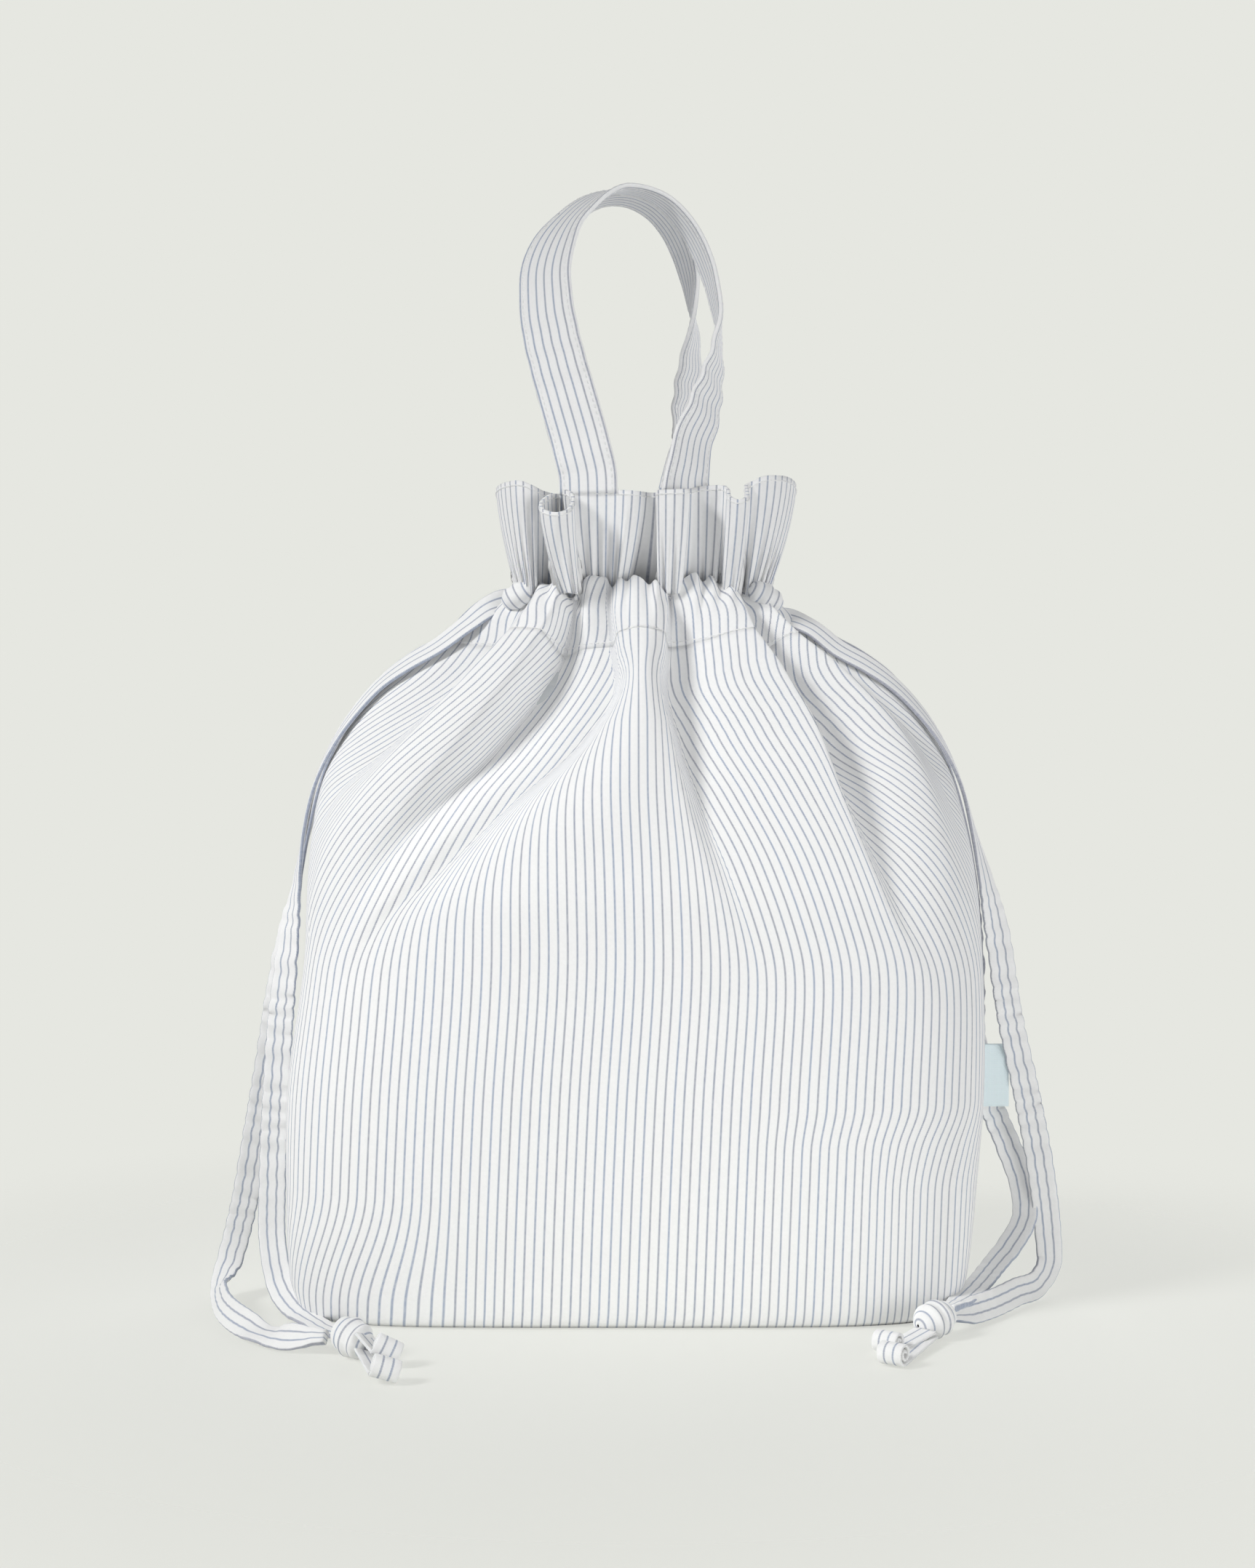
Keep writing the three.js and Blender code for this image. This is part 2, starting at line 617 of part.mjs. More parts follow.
const RIGHT_OUTER_ROUTE = [
  [47.3, -0.9, 255.7, 0, -1, 0],
  [50, -1.3, 255.7, 0, -1, 0],
  [56, -2.8, 257, 0, -0.9, 0.4],
  [65, -5, 256.6, 0.2, -0.5, 0.8],
  [74, -5.4, 252.5, 0.4, 0, 0.9],
  [86, -5.6, 245.7, 0.5, 0, 0.85],
  [97.5, -5.6, 237.1, 0.65, 0, 0.75],
  [107, -5.6, 225.1, 0.8, 0, 0.6],
  [115.5, -5.4, 211.7, 0.87, 0, 0.5],
  [122, -5, 196, 0.95, 0, 0.3],
  [127.4, -4.4, 178, 0.97, -0.1, 0.25],
  [133, -3.6, 160, 0.9, -0.35, 0.25],
  [138.5, -2.6, 141, 0.7, -0.65, 0.2],
  [147.5, -1, 105, 0.3, -0.95, 0.1],
  [154, -0.5, 70, 0, -1, 0],
  [159.5, 0, 40, 0, -1, 0],
  [161.5, -0.5, 20, 0, -0.97, 0.2],
  [160.5, -3.5, 6.5, 0, -0.7, 0.7],
  [155, -11, 1.6, 0, -0.1, 1],
  [145, -22, 1.4, 0, 0, 1],
  [134, -36, 1.4, 0, 0, 1],
  [123, -51, 2, 0, 0, 1],
  [110.1, -65.6, 5, 0, 0, 1],
];
const RIGHT_INNER_ROUTE = [
  [47.3, 0.9, 255.7, 0, 1, 0],
  [50, 1.3, 255.7, 0, 1, 0],
  [56, 2.8, 257, 0, 0.9, 0.4],
  [65, 5, 256.6, 0.2, 0.5, 0.8],
  [74, 5.2, 252.6, 0.4, 0, 0.9],
  [86, 5.4, 245.9, 0.5, 0, 0.85],
  [97.5, 5.4, 237.3, 0.65, 0, 0.75],
  [107, 5.4, 225.1, 0.8, 0, 0.6],
  [115.5, 5.6, 211.7, 0.87, 0, 0.5],
  [121.9, 6.2, 196, 0.95, 0, 0.3],
  [126.6, 7.2, 178, 0.97, 0.05, 0.25],
  [130.2, 8.2, 158, 0.99, 0.05, 0.15],
  [132.4, 9, 138, 0.99, 0.05, 0.05],
  [133.6, 9.4, 110, 1, 0, 0],
  [136, 9.2, 88, 0.97, -0.2, 0.1],
  [142, 8.2, 66, 0.7, -0.7, 0.2],
  [149.5, 6, 48, 0.3, -0.95, 0.1],
  [151, 2.5, 33, -0.2, -0.97, 0],
  [146.5, -2.5, 20, -0.4, -0.8, 0.5],
  [139.5, -10, 10.5, -0.4, -0.4, 0.8],
  [133, -20, 5.6, 0, -0.1, 1],
  [130.5, -33.5, 4.8, 0, 0, 1],
  [122.5, -49.5, 5.6, 0, 0, 1],
  [110.2, -64.6, 8.3, 0, 0, 1],
];
// Routes of the rolled tails, from the knot to their folded ends on the ground.
const LEFT_LONG_TAIL_ROUTE = [
  [-90.2, -105.4, 4.1, 0, 0, 1],
  [-86, -118, 2.7, 0, 0, 1],
  [-76, -139.5, 1.9, 0, 0, 1],
];
const LEFT_SHORT_TAIL_ROUTE = [
  [-89.4, -104.2, 8.6, 0, 0, 1],
  [-82.5, -108, 7, 0, 0, 1],
  [-74.5, -112.5, 4.2, 0, 0, 1],
];
const RIGHT_LONG_TAIL_ROUTE = [
  [98.6, -82, 4.1, 0, 0, 1],
  [95.5, -93, 2.7, 0, 0, 1],
  [90, -106.5, 1.9, 0, 0, 1],
];
const RIGHT_SHORT_TAIL_ROUTE = [
  [98.2, -80.8, 8.6, 0, 0, 1],
  [91, -87, 7, 0, 0, 1],
  [83.5, -92.5, 4, 0, 0, 1],
];
const LEFT_KNOT = new THREE.Vector3(-97.5, -98.6, KNOT_WIDTH / 2 + CLEARANCE);
const LEFT_KNOT_HEADING = Math.atan2(-0.6, 0.8);
const RIGHT_KNOT = new THREE.Vector3(104, -73, KNOT_WIDTH / 2 + CLEARANCE);
const RIGHT_KNOT_HEADING = Math.atan2(-0.8, -0.6);

function routeStops(route) {
  return route.map(([x, y, z, a, b, c]) => ({
    place: new THREE.Vector3(x, y, z),
    facing: new THREE.Vector3(a, b, c),
  }));
}

// A tight overhand knot: a plump spindle with its long axis on the ground along the heading.
function addKnot(name, middle, heading) {
  const half = KNOT_LENGTH / 2;
  const round = KNOT_WIDTH / 2;
  const spindle = [[0, -1], [0.6, -0.84], [0.92, -0.45], [1, 0], [0.92, 0.45], [0.6, 0.84], [0, 1]];
  const profile = spindle.map(([out, along]) => new THREE.Vector2(out * round, along * half));
  const mesh = addPiece(name, new THREE.LatheGeometry(profile, KNOT_SIDES), COTTON);
  mesh.position.copy(middle);
  mesh.rotation.set(0, 0, heading - Math.PI / 2);
}

function addStrings() {
  const strands = {
    left_outer_strand: LEFT_OUTER_ROUTE,
    left_inner_strand: LEFT_INNER_ROUTE,
    right_outer_strand: RIGHT_OUTER_ROUTE,
    right_inner_strand: RIGHT_INNER_ROUTE,
  };
  for (const [name, route] of Object.entries(strands)) {
    addPiece(name, band(routeStops(route), STRAND_STEPS, TAPE_WIDTH, TAPE_THICKNESS), COTTON);
  }
  const tails = {
    left_long_tail: LEFT_LONG_TAIL_ROUTE,
    left_short_tail: LEFT_SHORT_TAIL_ROUTE,
    right_long_tail: RIGHT_LONG_TAIL_ROUTE,
    right_short_tail: RIGHT_SHORT_TAIL_ROUTE,
  };
  for (const [name, route] of Object.entries(tails)) {
    addPiece(name, band(routeStops(route), TAIL_STEPS, TAIL_WIDTH, TAIL_THICKNESS), COTTON);
  }
  addKnot('left_knot', LEFT_KNOT, LEFT_KNOT_HEADING);
  addKnot('right_knot', RIGHT_KNOT, RIGHT_KNOT_HEADING);
}

addShell();
addChannel();
addFrill();
addTapeRuns();
addAnchors();
addStraps();
addTag();
addStrings();

export default bag;
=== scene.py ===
"""Dress the cooler bag's frame in pinstriped cotton, with its tapes, straps, lining and padding."""

import bpy
import numpy as np
from bpy.props import FloatProperty, FloatVectorProperty, PointerProperty
from bpy.types import Operator, Panel, PropertyGroup
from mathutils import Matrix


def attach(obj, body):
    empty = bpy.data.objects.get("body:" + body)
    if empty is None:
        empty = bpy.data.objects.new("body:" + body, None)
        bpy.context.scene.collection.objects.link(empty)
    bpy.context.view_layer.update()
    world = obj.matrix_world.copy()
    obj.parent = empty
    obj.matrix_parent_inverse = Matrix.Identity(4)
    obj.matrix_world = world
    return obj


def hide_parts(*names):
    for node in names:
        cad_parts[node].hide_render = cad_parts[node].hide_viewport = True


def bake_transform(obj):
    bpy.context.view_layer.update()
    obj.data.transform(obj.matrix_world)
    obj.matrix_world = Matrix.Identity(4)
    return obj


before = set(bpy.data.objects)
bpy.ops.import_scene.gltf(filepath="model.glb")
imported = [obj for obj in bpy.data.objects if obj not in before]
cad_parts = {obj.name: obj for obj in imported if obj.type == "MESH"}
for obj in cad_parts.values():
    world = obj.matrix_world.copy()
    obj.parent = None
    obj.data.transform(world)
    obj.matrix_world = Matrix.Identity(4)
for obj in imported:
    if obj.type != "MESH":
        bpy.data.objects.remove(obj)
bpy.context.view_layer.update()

bl_info = {
    "name": "Drawstring cooler bag",
    "version": (1, 0, 0),
    "blender": (4, 2, 0),
    "location": "View3D > Sidebar > Cooler bag",
    "description": "Builds the cloth, tapes, straps and padding of a drawstring cooler bag",
    "category": "Add Mesh",
}

MM = 0.001

# Camera, measured from the photo
EYE = (-0.004, -0.850, 0.195)
LENS = 50.7
SENSOR = 36.0

# Wall of the bag: height, half width, half depth, squareness
WALL_HEIGHTS = [0, 2, 6, 14, 44, 80, 134, 150, 165, 195, 213, 229, 240, 250]
WALL_WIDTHS = [119.5, 122, 124, 126.5, 129, 130.5, 127.5, 127, 126, 121, 113, 102, 90.5, 76]
WALL_DEPTHS = [58, 60.5, 62, 63.5, 65.5, 66, 65, 64.5, 62, 55, 48, 41, 35.5, 30]
WALL_SQUARENESS = [5, 5, 5, 4.8, 4.4, 4.2, 3.6, 3.4, 3.2, 2.8, 2.5, 2.3, 2.1, 2]
# The sack leans a little: how far its middle stands to the right at those heights
WALL_SHIFTS = [-4.5, -4.3, -4, -3.7, -2.6, -1, 2, 1.7, 1.2, 0, 0, 0, 0, 0]
# Drawn channel above the wall, as stops along its curve: half width, half depth, height
CHANNEL_STOPS = [
    (76, 30, 250), (66.5, 28, 256), (57.5, 26, 262), (50, 24.2, 267), (45, 22.6, 270.4),
    (41.5, 20.4, 272), (38, 17.6, 271.6), (36, 15, 269.4),
]
SEAM_HEIGHT = 250
# Squareness of a plain ellipse, and the fine steps of a curve for each of its stops
ELLIPSE = 2.0
CURVE_STEPS = 40

# Folds of the drawn cloth, seen from the front. Each line gives its place across and how far it stands out,
# at the heights below, from the left seam to the right one.
FOLD_HEIGHTS = [115, 130, 145, 165, 190, 215, 235, 250, 262, 272]
FOLD_LINES = [
    ([-129, -128, -126, -123, -113, -89, -69, -54, -44, -38], [0, 0, 0, 0, -2, -5, -6, -5, -3, -2]),
    ([-126, -125, -122, -114, -96, -75, -57, -45, -36, -31], [0, 0, 0.5, 2, 4.5, 7, 7.5, 6, 3.5, 0]),
    ([-124, -121, -114, -103, -83, -61, -45, -36, -30, -27.5], [0, 0, 0.2, 1, 2.5, 4.5, 5.5, 5, 2, -1]),
    ([-121, -116, -107, -93, -72, -52, -38, -29.5, -25.3, -24],
     [0, 0, -0.5, -2, -6.5, -12.5, -15, -13.5, -7, -3]),
    ([-118, -109, -98, -81, -57, -36, -24, -20.3, -19, -18], [0, 0, -0.3, -1, -5, -10, -11.5, -9, -3, 1]),
    ([-116, -104, -93, -71, -45, -19, -8, -10, -11.5, -11.5],
     [0, -0.5, -1.5, -3.5, -6.5, -8.5, -9, -8, -4, 0]),
    ([-94, -83, -73, -54, -33, -12, -4, -7, -9, -9], [0, 0, -0.3, -0.5, 0.5, 2.5, 3, 3, 1.5, 0]),
    ([-30, -28, -25, -18, -9, 0, 1.5, 1, 1, 1], [0, 0.3, 0.8, 2, 5, 7, 8, 7, 3.5, 0.5]),
    ([36, 33, 29, 23, 16, 11, 7.5, 9.5, 10.8, 10.8], [0, 0, 0, 0.5, 1.5, 3, 4, 3.5, 1.5, 0]),
    ([50, 45, 39.5, 31.5, 22, 14.5, 10.5, 12, 12.8, 12.8], [0, -0.5, -1, -2.5, -6, -9, -10, -8, -5, -2]),
    ([80, 76, 70, 60, 48, 38, 29, 24, 22.5, 21], [0, 0, 0, -0.4, -1.6, -3.4, -4.5, -3.5, -0.5, 1]),
    ([107, 100, 91, 82.5, 72, 62.5, 51, 42, 37, 33], [0, 0.3, 1, 2.5, 5.5, 7.5, 7.5, 6, 3, 1]),
    ([114, 107, 97, 88, 77.5, 67.5, 56, 46.5, 42, 37], [0, -0.3, -1, -3, -7, -11, -11.5, -9, -5, -3]),
    ([122, 119, 116, 112, 105, 93, 75, 59, 47, 40], [0, 0, 0.5, 1.5, 3, 4, 4, 3, 2, 2]),
    ([128, 127, 126, 122, 115, 103, 84, 64, 49, 42], [0, 0, 0, -0.5, -1.5, -3, -4, -4, -2, -2]),
]
# Cloth that each fold hides: its line, the height it starts at, its growth for each mm up, the side on which
# the stripes crowd into the fold, and how widely they do at the low and the high end
HIDDEN_CLOTH = [
    (0, 165, 0.30, 0, 2, 2),
    (3, 140, 0.27, -1, 8, 4),
    (5, 131, 0.52, 1, 13, 3),
    (9, 131, 0.30, -1, 9, 2.5),
    (12, 127, 0.27, -1, 9, 2),
    (14, 165, 0.35, 0, 2, 2),
]
# Soft creases low on the body shove the stripes sideways: how far, the places across where they do fully and
# not at all, and the heights where they don't and fully do
SHOVES = [
    (9.0, -105, -60, 48, 8),
    (7.0, 112, 74, 80, 48),
    (2.5, 84, 30, 80, 64),
]
# Tucks where the channel is drawn in: place across, how far each stands out and how much higher its top is
GATHERS = [
    (-42, 0, -1), (-37, 1.4, -1.2), (-33.5, -1.0, -1.6), (-30, 1.5, -1.4), (-27.2, -1.6, -3.2),
    (-24.6, 0.8, -3.8), (-23, -1.6, -1.6), (-20.6, 0.3, 1.0), (-15.5, 0, 1.8), (-12, 0.5, 1.4),
    (-9.6, -2.4, -0.8), (-7, 1.2, -1.4), (-4.2, -1.0, -1.0), (-1.6, 1.3, -1.2), (1.4, 0.4, -1.6),
    (4, -1.1, -2.4), (6.6, 1.4, -2.8), (9.4, -0.6, -3.6), (11.8, -2.6, -2.8), (14.4, 1.2, -0.6),
    (18, 0.6, 1.2), (21.6, 1.4, 0.8), (24.4, -1.6, 0), (27.4, 1.2, -0.6), (30.6, -1.4, -1.2),
    (33.6, 1.2, 0.6), (37, -1.0, 0.8), (42, 0, 0),
]
# The channel's length, counted on from the wall's heights, and where its tucks set in and their tops rise
CHANNEL_RISE = 22
TUCKS_SET_IN = (250, 268)
TUCKS_RISE = (256, 268)
# Fold lines keep inside these shares of the half width, and this far apart in mm
SEAM_SHARE = 0.999
FOLD_LIMIT = 0.97
FOLD_APART = 0.02
# The channel's seam sinks in along a bell of this depth and width
SEAM_SINK = 0.1
SEAM_WIDTH = 1.6
# A fold's edge in the cloth is this wide, and narrower between these heights. Its hidden cloth starts roundly
HIDE_WIDTH = 0.9
HIDE_NARROWS = ([200, 242], [HIDE_WIDTH, 0.4 * HIDE_WIDTH])
HIDE_ROUND = 8.0
# Above a fold's start: how far up the crowding changes its width, and how the edge takes over from it
CROWD_SPAN = [0, 85]
EDGE_SHARES = ([20, 90, 112], [0, 0.4, 1])
WALL_COLUMNS = 361
WALL_ROWS = 126
CHANNEL_ROWS = 40
CLOTH_THICKNESS = 0.9

# Frill: top edge and neck of its front half, from the left seam to the right one
FRILL_STOPS = [
    (-54.3, 0, 307, -46, 0), (-53.8, -9, 308, -45.2, -5), (-49, -19, 308.8, -43, -11),
    (-43.5, -24, 308.4, -40.6, -14.5), (-39, -23.4, 306.6, -38.8, -13.5), (-36, -20, 305.4, -37.4, -4),
    (-32.2, -17.6, 304.6, -34.4, -2.5), (-31, -19.4, 304.2, -32.4, -3.5), (-33.4, -26.5, 303, -31, -10),
    (-36.6, -35, 298.6, -29.6, -17.5), (-34.6, -41.2, 295.4, -27.8, -21),
    (-30.3, -42.8, 294.4, -25.4, -21.8), (-26.2, -41, 295.4, -23.2, -20.8),
    (-23.6, -36, 299.2, -21.8, -14), (-24.4, -30.5, 303.2, -21, -9), (-26.8, -26.6, 305, -20.2, -8),
    (-24.6, -26, 305.2, -19.4, -9), (-21.5, -26.4, 305.1, -18.4, -10.5), (-15.5, -26.6, 305, -15, -12),
    (-8, -27.4, 304.6, -9.8, -14.5), (-3.2, -29.4, 304.2, -7.4, -16.5), (0.6, -28, 304, -5.4, -10),
    (4, -24.5, 304, -2, -3), (6.4, -24, 304, 3.4, -3), (7.2, -33, 303.8, 8, -18.5),
    (12.8, -36, 303.7, 12, -21.5), (18.4, -34.6, 304, 15.8, -19.5), (19.8, -26.5, 305.2, 18.4, -8),
    (22.2, -25.4, 306, 22.4, -7), (27, -26, 306.4, 26, -10), (31.2, -27.4, 306.3, 29, -13),
    (32.6, -30.5, 304.6, 30.8, -9), (33.4, -36, 301, 31.8, -16), (36.8, -38.4, 299.6, 34.4, -19),
    (40, -36.8, 300.6, 36.8, -17.6), (41, -30, 304.4, 38.2, -9), (41.4, -24, 307.4, 39.4, -5),
    (46, -23.4, 310, 41.4, -10), (53, -20, 311, 44.4, -10.5), (58.6, -12, 310.6, 47.4, -6.5),
    (60.6, -5, 309, 49.4, -3), (60.4, 0, 307, 49.4, 0),
]
FRILL_FOOT = 266.5
FRILL_TUCK = 1.7
FRILL_TUCK_PITCH = 5.5
FRILL_TUCK_FADE = 1.6
FRILL_WANDER = (1.6, 0.19)
FRILL_ENDS = 12
FRILL_FLARE = 1.5
FRILL_HEM = 1.2
FRILL_STITCH_PITCH = 2.0
FRILL_COLUMNS = 420
FRILL_ROWS = 24

# Pieces inside the cloth: how far in from the wall, and the heights they run between
FOAM_INSET = 3.2
FOAM_THICKNESS = 4.0
FOAM_HEIGHTS = (5, 150)
FOAM_ROWS = 40
LINING_HEIGHTS = (8, 248)
LINING_ROWS = 90
LINING_INSETS = ([0, 130, 205, 260], [9.0, 9.0, 17.0, 17.0])
LINING_THICKNESS = 0.4
# Layers of the base: piece, node, half width, half depth, underside, top, finish and slot
BASE_LAYERS = (
    ("base_cloth", "outer_base_panel", 119.8, 58.4, 0.1, 1.5, "cotton", "striped_cotton"),
    ("base_foam", "base_insulation", 116, 54, 2, 6, "foam", "foam"),
    ("base_foil", "base_lining", 113, 51, 6.4, 7.2, "foil", "foil_lining"),
)
# Their squareness, the share that their innermost ring has of the outline, and the points round their edge
BASE_SQUARENESS = 5.0
BASE_MIDDLE = 0.02
BASE_EDGE = 7
# The facing behind the tapes, as stops of half width, half depth and height, with its small pleats
FACING_STOPS = [(64, 14, 249), (50, 12.5, 255), (40, 10.5, 260), (34, 9, 265)]
FACING_PLEATS = 20
FACING_PLEAT = 2.2
FACING_ROWS = 20
FACING_COLUMNS = 481
FACING_THICKNESS = 0.6
# The tapes' runs in the channel: string, height, half width and half depth, then their section, and the
# angle that they leave open at each side seam
RUN_PLANS = (("left", 262.0, 49, 14.6), ("right", 254.5, 60, 15.4))
RUN_SECTION = (8.0, 1.2)
RUN_END = 0.06
RUN_POINTS = 120

# Drawstring tape and carrying strap sections
TAPE_WIDTH = 9.0
TAPE_THICKNESS = 1.5
TAPE_SHIFT = 1.7
STRAND_SECTION = (TAPE_WIDTH + 1.2, TAPE_THICKNESS)
STRAND_POINTS = 320
TAIL_SECTION = (TAPE_WIDTH + 0.4, 1.1)
STRAP_WIDTH = 22.0
STRAP_THICKNESS = 1.8
STRAP_POINTS = 180
STRAP_PUCKER = 0.5
STRAP_PUCKER_REACH = (100, 40)
STRAP_PUCKER_ENDS = 12
STRAP_PUCKER_RATE = 0.44
STRAP_WANDER = (1.7, 0.11)
# Sewn ends of the straps: places across, then depth and height from below up to the frill's edge, and the
# way their faces look
STRAP_ENDS = (("left", -18.5), ("right", 18.5))
STRAP_END_STOPS = [(-12.5, 283), (-19.0, 295), (-24.0, 305.6)]
STRAP_END_FACE = (0.0, -1.0, 0.3)
STRAP_END_POINTS = 30
# Straps from the left foot to the right one: place in mm, then the degrees by which the outer face turns
# towards the strap's own side of the bag
FRONT_STRAP_STOPS = [
    (-18.5, -26.2, 303.3, 84), (-18.8, -26, 310, 85), (-21.5, -24.5, 322, 85), (-25.0, -22.5, 335, 84),
    (-29.3, -20, 350, 82), (-33.2, -17.5, 366, 77), (-35, -15.5, 380, 68), (-34.8, -13.8, 391, 61),
    (-31.8, -12.5, 400.5, 50), (-26.2, -11.5, 409.4, 34), (-19.5, -11, 415.6, 27),
    (-12.5, -10.8, 419.4, 17), (-5.5, -10.8, 420.9, 8), (3, -11, 419.6, 4), (11, -11.5, 414.8, -3),
    (17.8, -12.5, 407, -8), (23.6, -13.8, 396.6, -10), (27.8, -15.5, 384.5, -8), (30.2, -17.2, 372, -3),
    (30.2, -19, 360, 9), (28.2, -21, 348, 21), (25, -23, 336, 33), (20.5, -25, 322, 42),
    (18.2, -26.2, 310, 48), (18, -26.2, 303.3, 55),
]
REAR_STRAP_STOPS = [
    (-18.5, 26.2, 303.3, 80), (-18.8, 26, 310, 78), (-22, 24, 324, 74), (-26.5, 21.5, 339, 70),
    (-31.5, 18, 355, 62), (-36, 15, 371, 52), (-38, 13, 385, 42), (-37, 11.5, 398, 30),
    (-32, 10.8, 409, 16), (-24, 10.4, 417.4, 4), (-14, 10.2, 422.6, -2), (-4, 10.2, 423.2, 2),
    (5, 10.6, 419.6, 8), (12, 11.2, 412.8, 13), (17.2, 12.2, 403.5, 16), (20.3, 13.4, 393, 14),
    (21.6, 15, 381, 3), (21.6, 17, 370, -13), (20, 19.5, 356, -23), (17.4, 22, 342, -17),
    (15, 24, 329, 2), (15.6, 25.6, 317, 34), (17.5, 26.2, 303.3, 70),
]
STITCH_PITCH = 2.5
STITCH_LENGTH = 1.7
STITCH_RADIUS = 0.26
STITCH_INSET = 2
STITCH_LIFT = 0.1
STITCH_SIDES = 6
# Rings of a stitch: their places along it and their radii, as shares
STITCH_PLACES = (-0.5, -0.36, 0.36, 0.5)
STITCH_RADII = (0.05, 1, 1, 0.05)

# Free strands from the slit to the knot: place in mm, then the way the outer face looks
LEFT_OUTER_ROUTE = [
    (-47.3, 0.9, 265, 0, 1, 0), (-50, 1.3, 265, 0, 1, 0), (-56, 2.8, 263.2, 0, 0.9, 0.4),
    (-65, 5, 258.4, -0.2, 0.5, 0.8), (-74, 5.2, 252.6, -0.4, 0, 0.9), (-86, 5.4, 245.9, -0.5, 0, 0.85),
    (-97.5, 5.4, 237.3, -0.65, 0, 0.75), (-107, 5.4, 225.1, -0.8, 0, 0.6),
    (-115.5, 5.2, 211.7, -0.87, 0, 0.5), (-121.9, 4.8, 196, -0.95, 0, 0.3),
    (-126.8, 4, 178, -0.97, -0.1, 0.25), (-131, 2.8, 158, -0.95, -0.3, 0.15),
    (-133.8, 1.8, 144, -0.7, -0.7, 0.1), (-138, 0.8, 118, -0.3, -0.95, 0.1),
    (-142, 0.2, 89, 0, -1, 0.05), (-146.8, -0.6, 60, 0, -1, 0.05), (-151.8, -2, 31, 0, -1, 0.1),
    (-156, -6, 13, -0.1, -0.95, 0.3), (-157.5, -16, 6.2, -0.5, -0.75, 0.4),
    (-154.5, -34, 5.2, -0.72, -0.5, 0.42), (-148, -54, 5, -0.7, -0.5, 0.45),
    (-139.5, -70, 4.6, -0.5, -0.5, 0.65), (-130.5, -81.5, 3.4, -0.1, -0.3, 0.95),
    (-120, -90, 4.8, -0.4, -0.7, 0.6), (-107, -95.5, 6.1, -0.3, -0.7, 0.65),
]
LEFT_INNER_ROUTE = [
    (-47.3, -0.9, 265, 0, -1, 0), (-50, -1.3, 265, 0, -1, 0), (-56, -5, 263, -0.15, -0.9, 0.4),
    (-65, -10.2, 255.8, -0.35, -0.68, 0.64), (-76.8, -12.2, 246.8, -0.36, -0.6, 0.71),
    (-87, -12.2, 240.9, -0.46, -0.56, 0.69), (-97.7, -11.9, 233.1, -0.59, -0.45, 0.68),
    (-106.9, -11.7, 223, -0.73, -0.36, 0.58), (-115.2, -11.2, 211, -0.83, -0.24, 0.49),
    (-122.6, -10.8, 195, -0.96, -0.13, 0.25), (-126.6, -10.6, 177.6, -0.98, -0.08, 0.12),
    (-129.6, -10.6, 158, -0.92, -0.35, 0.12), (-132.4, -12, 136, -0.6, -0.8, 0.1),
    (-135.4, -13.5, 105, -0.2, -0.97, 0.1), (-137, -15, 75, 0, -1, 0), (-137.8, -17.5, 45, 0, -1, 0.05),
    (-137, -21.5, 22, 0, -0.97, 0.2), (-133, -29, 9, -0.1, -0.8, 0.55),
    (-126.5, -40, 3.4, -0.1, -0.4, 0.9), (-117.5, -54, 1.4, 0, 0, 1), (-109, -70, 1.8, 0, 0, 1),
    (-103.5, -82, 3.4, 0, 0, 1), (-100.6, -90, 5.2, 0, 0, 1),
]
RIGHT_OUTER_ROUTE = [
    (47.3, -0.9, 255.7, 0, -1, 0), (50, -1.3, 255.7, 0, -1, 0), (56, -5, 258, 0.15, -0.9, 0.4),
    (65, -10.6, 254.8, 0.36, -0.7, 0.62), (76.4, -12.4, 246, 0.31, -0.67, 0.67),
    (86.5, -12.2, 240.4, 0.42, -0.64, 0.65), (97.1, -12, 232.8, 0.55, -0.53, 0.65),
    (106.7, -11.8, 222.9, 0.7, -0.42, 0.57), (115.1, -11.5, 211, 0.82, -0.28, 0.5),
    (122.6, -10.6, 195, 0.95, -0.15, 0.26), (127.4, -8.6, 178, 0.95, -0.25, 0.22),
    (132.4, -6, 160, 0.75, -0.6, 0.25), (137.2, -2.6, 141, 0.3, -0.93, 0.2),
    (143, -1.4, 105, 0.15, -0.98, 0.1), (149.8, -0.8, 74, 0, -1, 0), (155, -0.5, 46, -0.1, -0.98, 0),
    (157.6, -1, 22, 0, -0.97, 0.2), (157.4, -4, 12, 0.2, -0.95, 0.2),
    (152.5, -11.5, 6.4, 0.6, -0.7, 0.3), (141, -27, 5.7, 0.74, -0.52, 0.36),
    (128, -46, 5.6, 0.74, -0.52, 0.36), (117, -58.5, 5.8, 0.7, -0.52, 0.45),
    (110.1, -65.6, 6.2, 0.6, -0.5, 0.6),
]
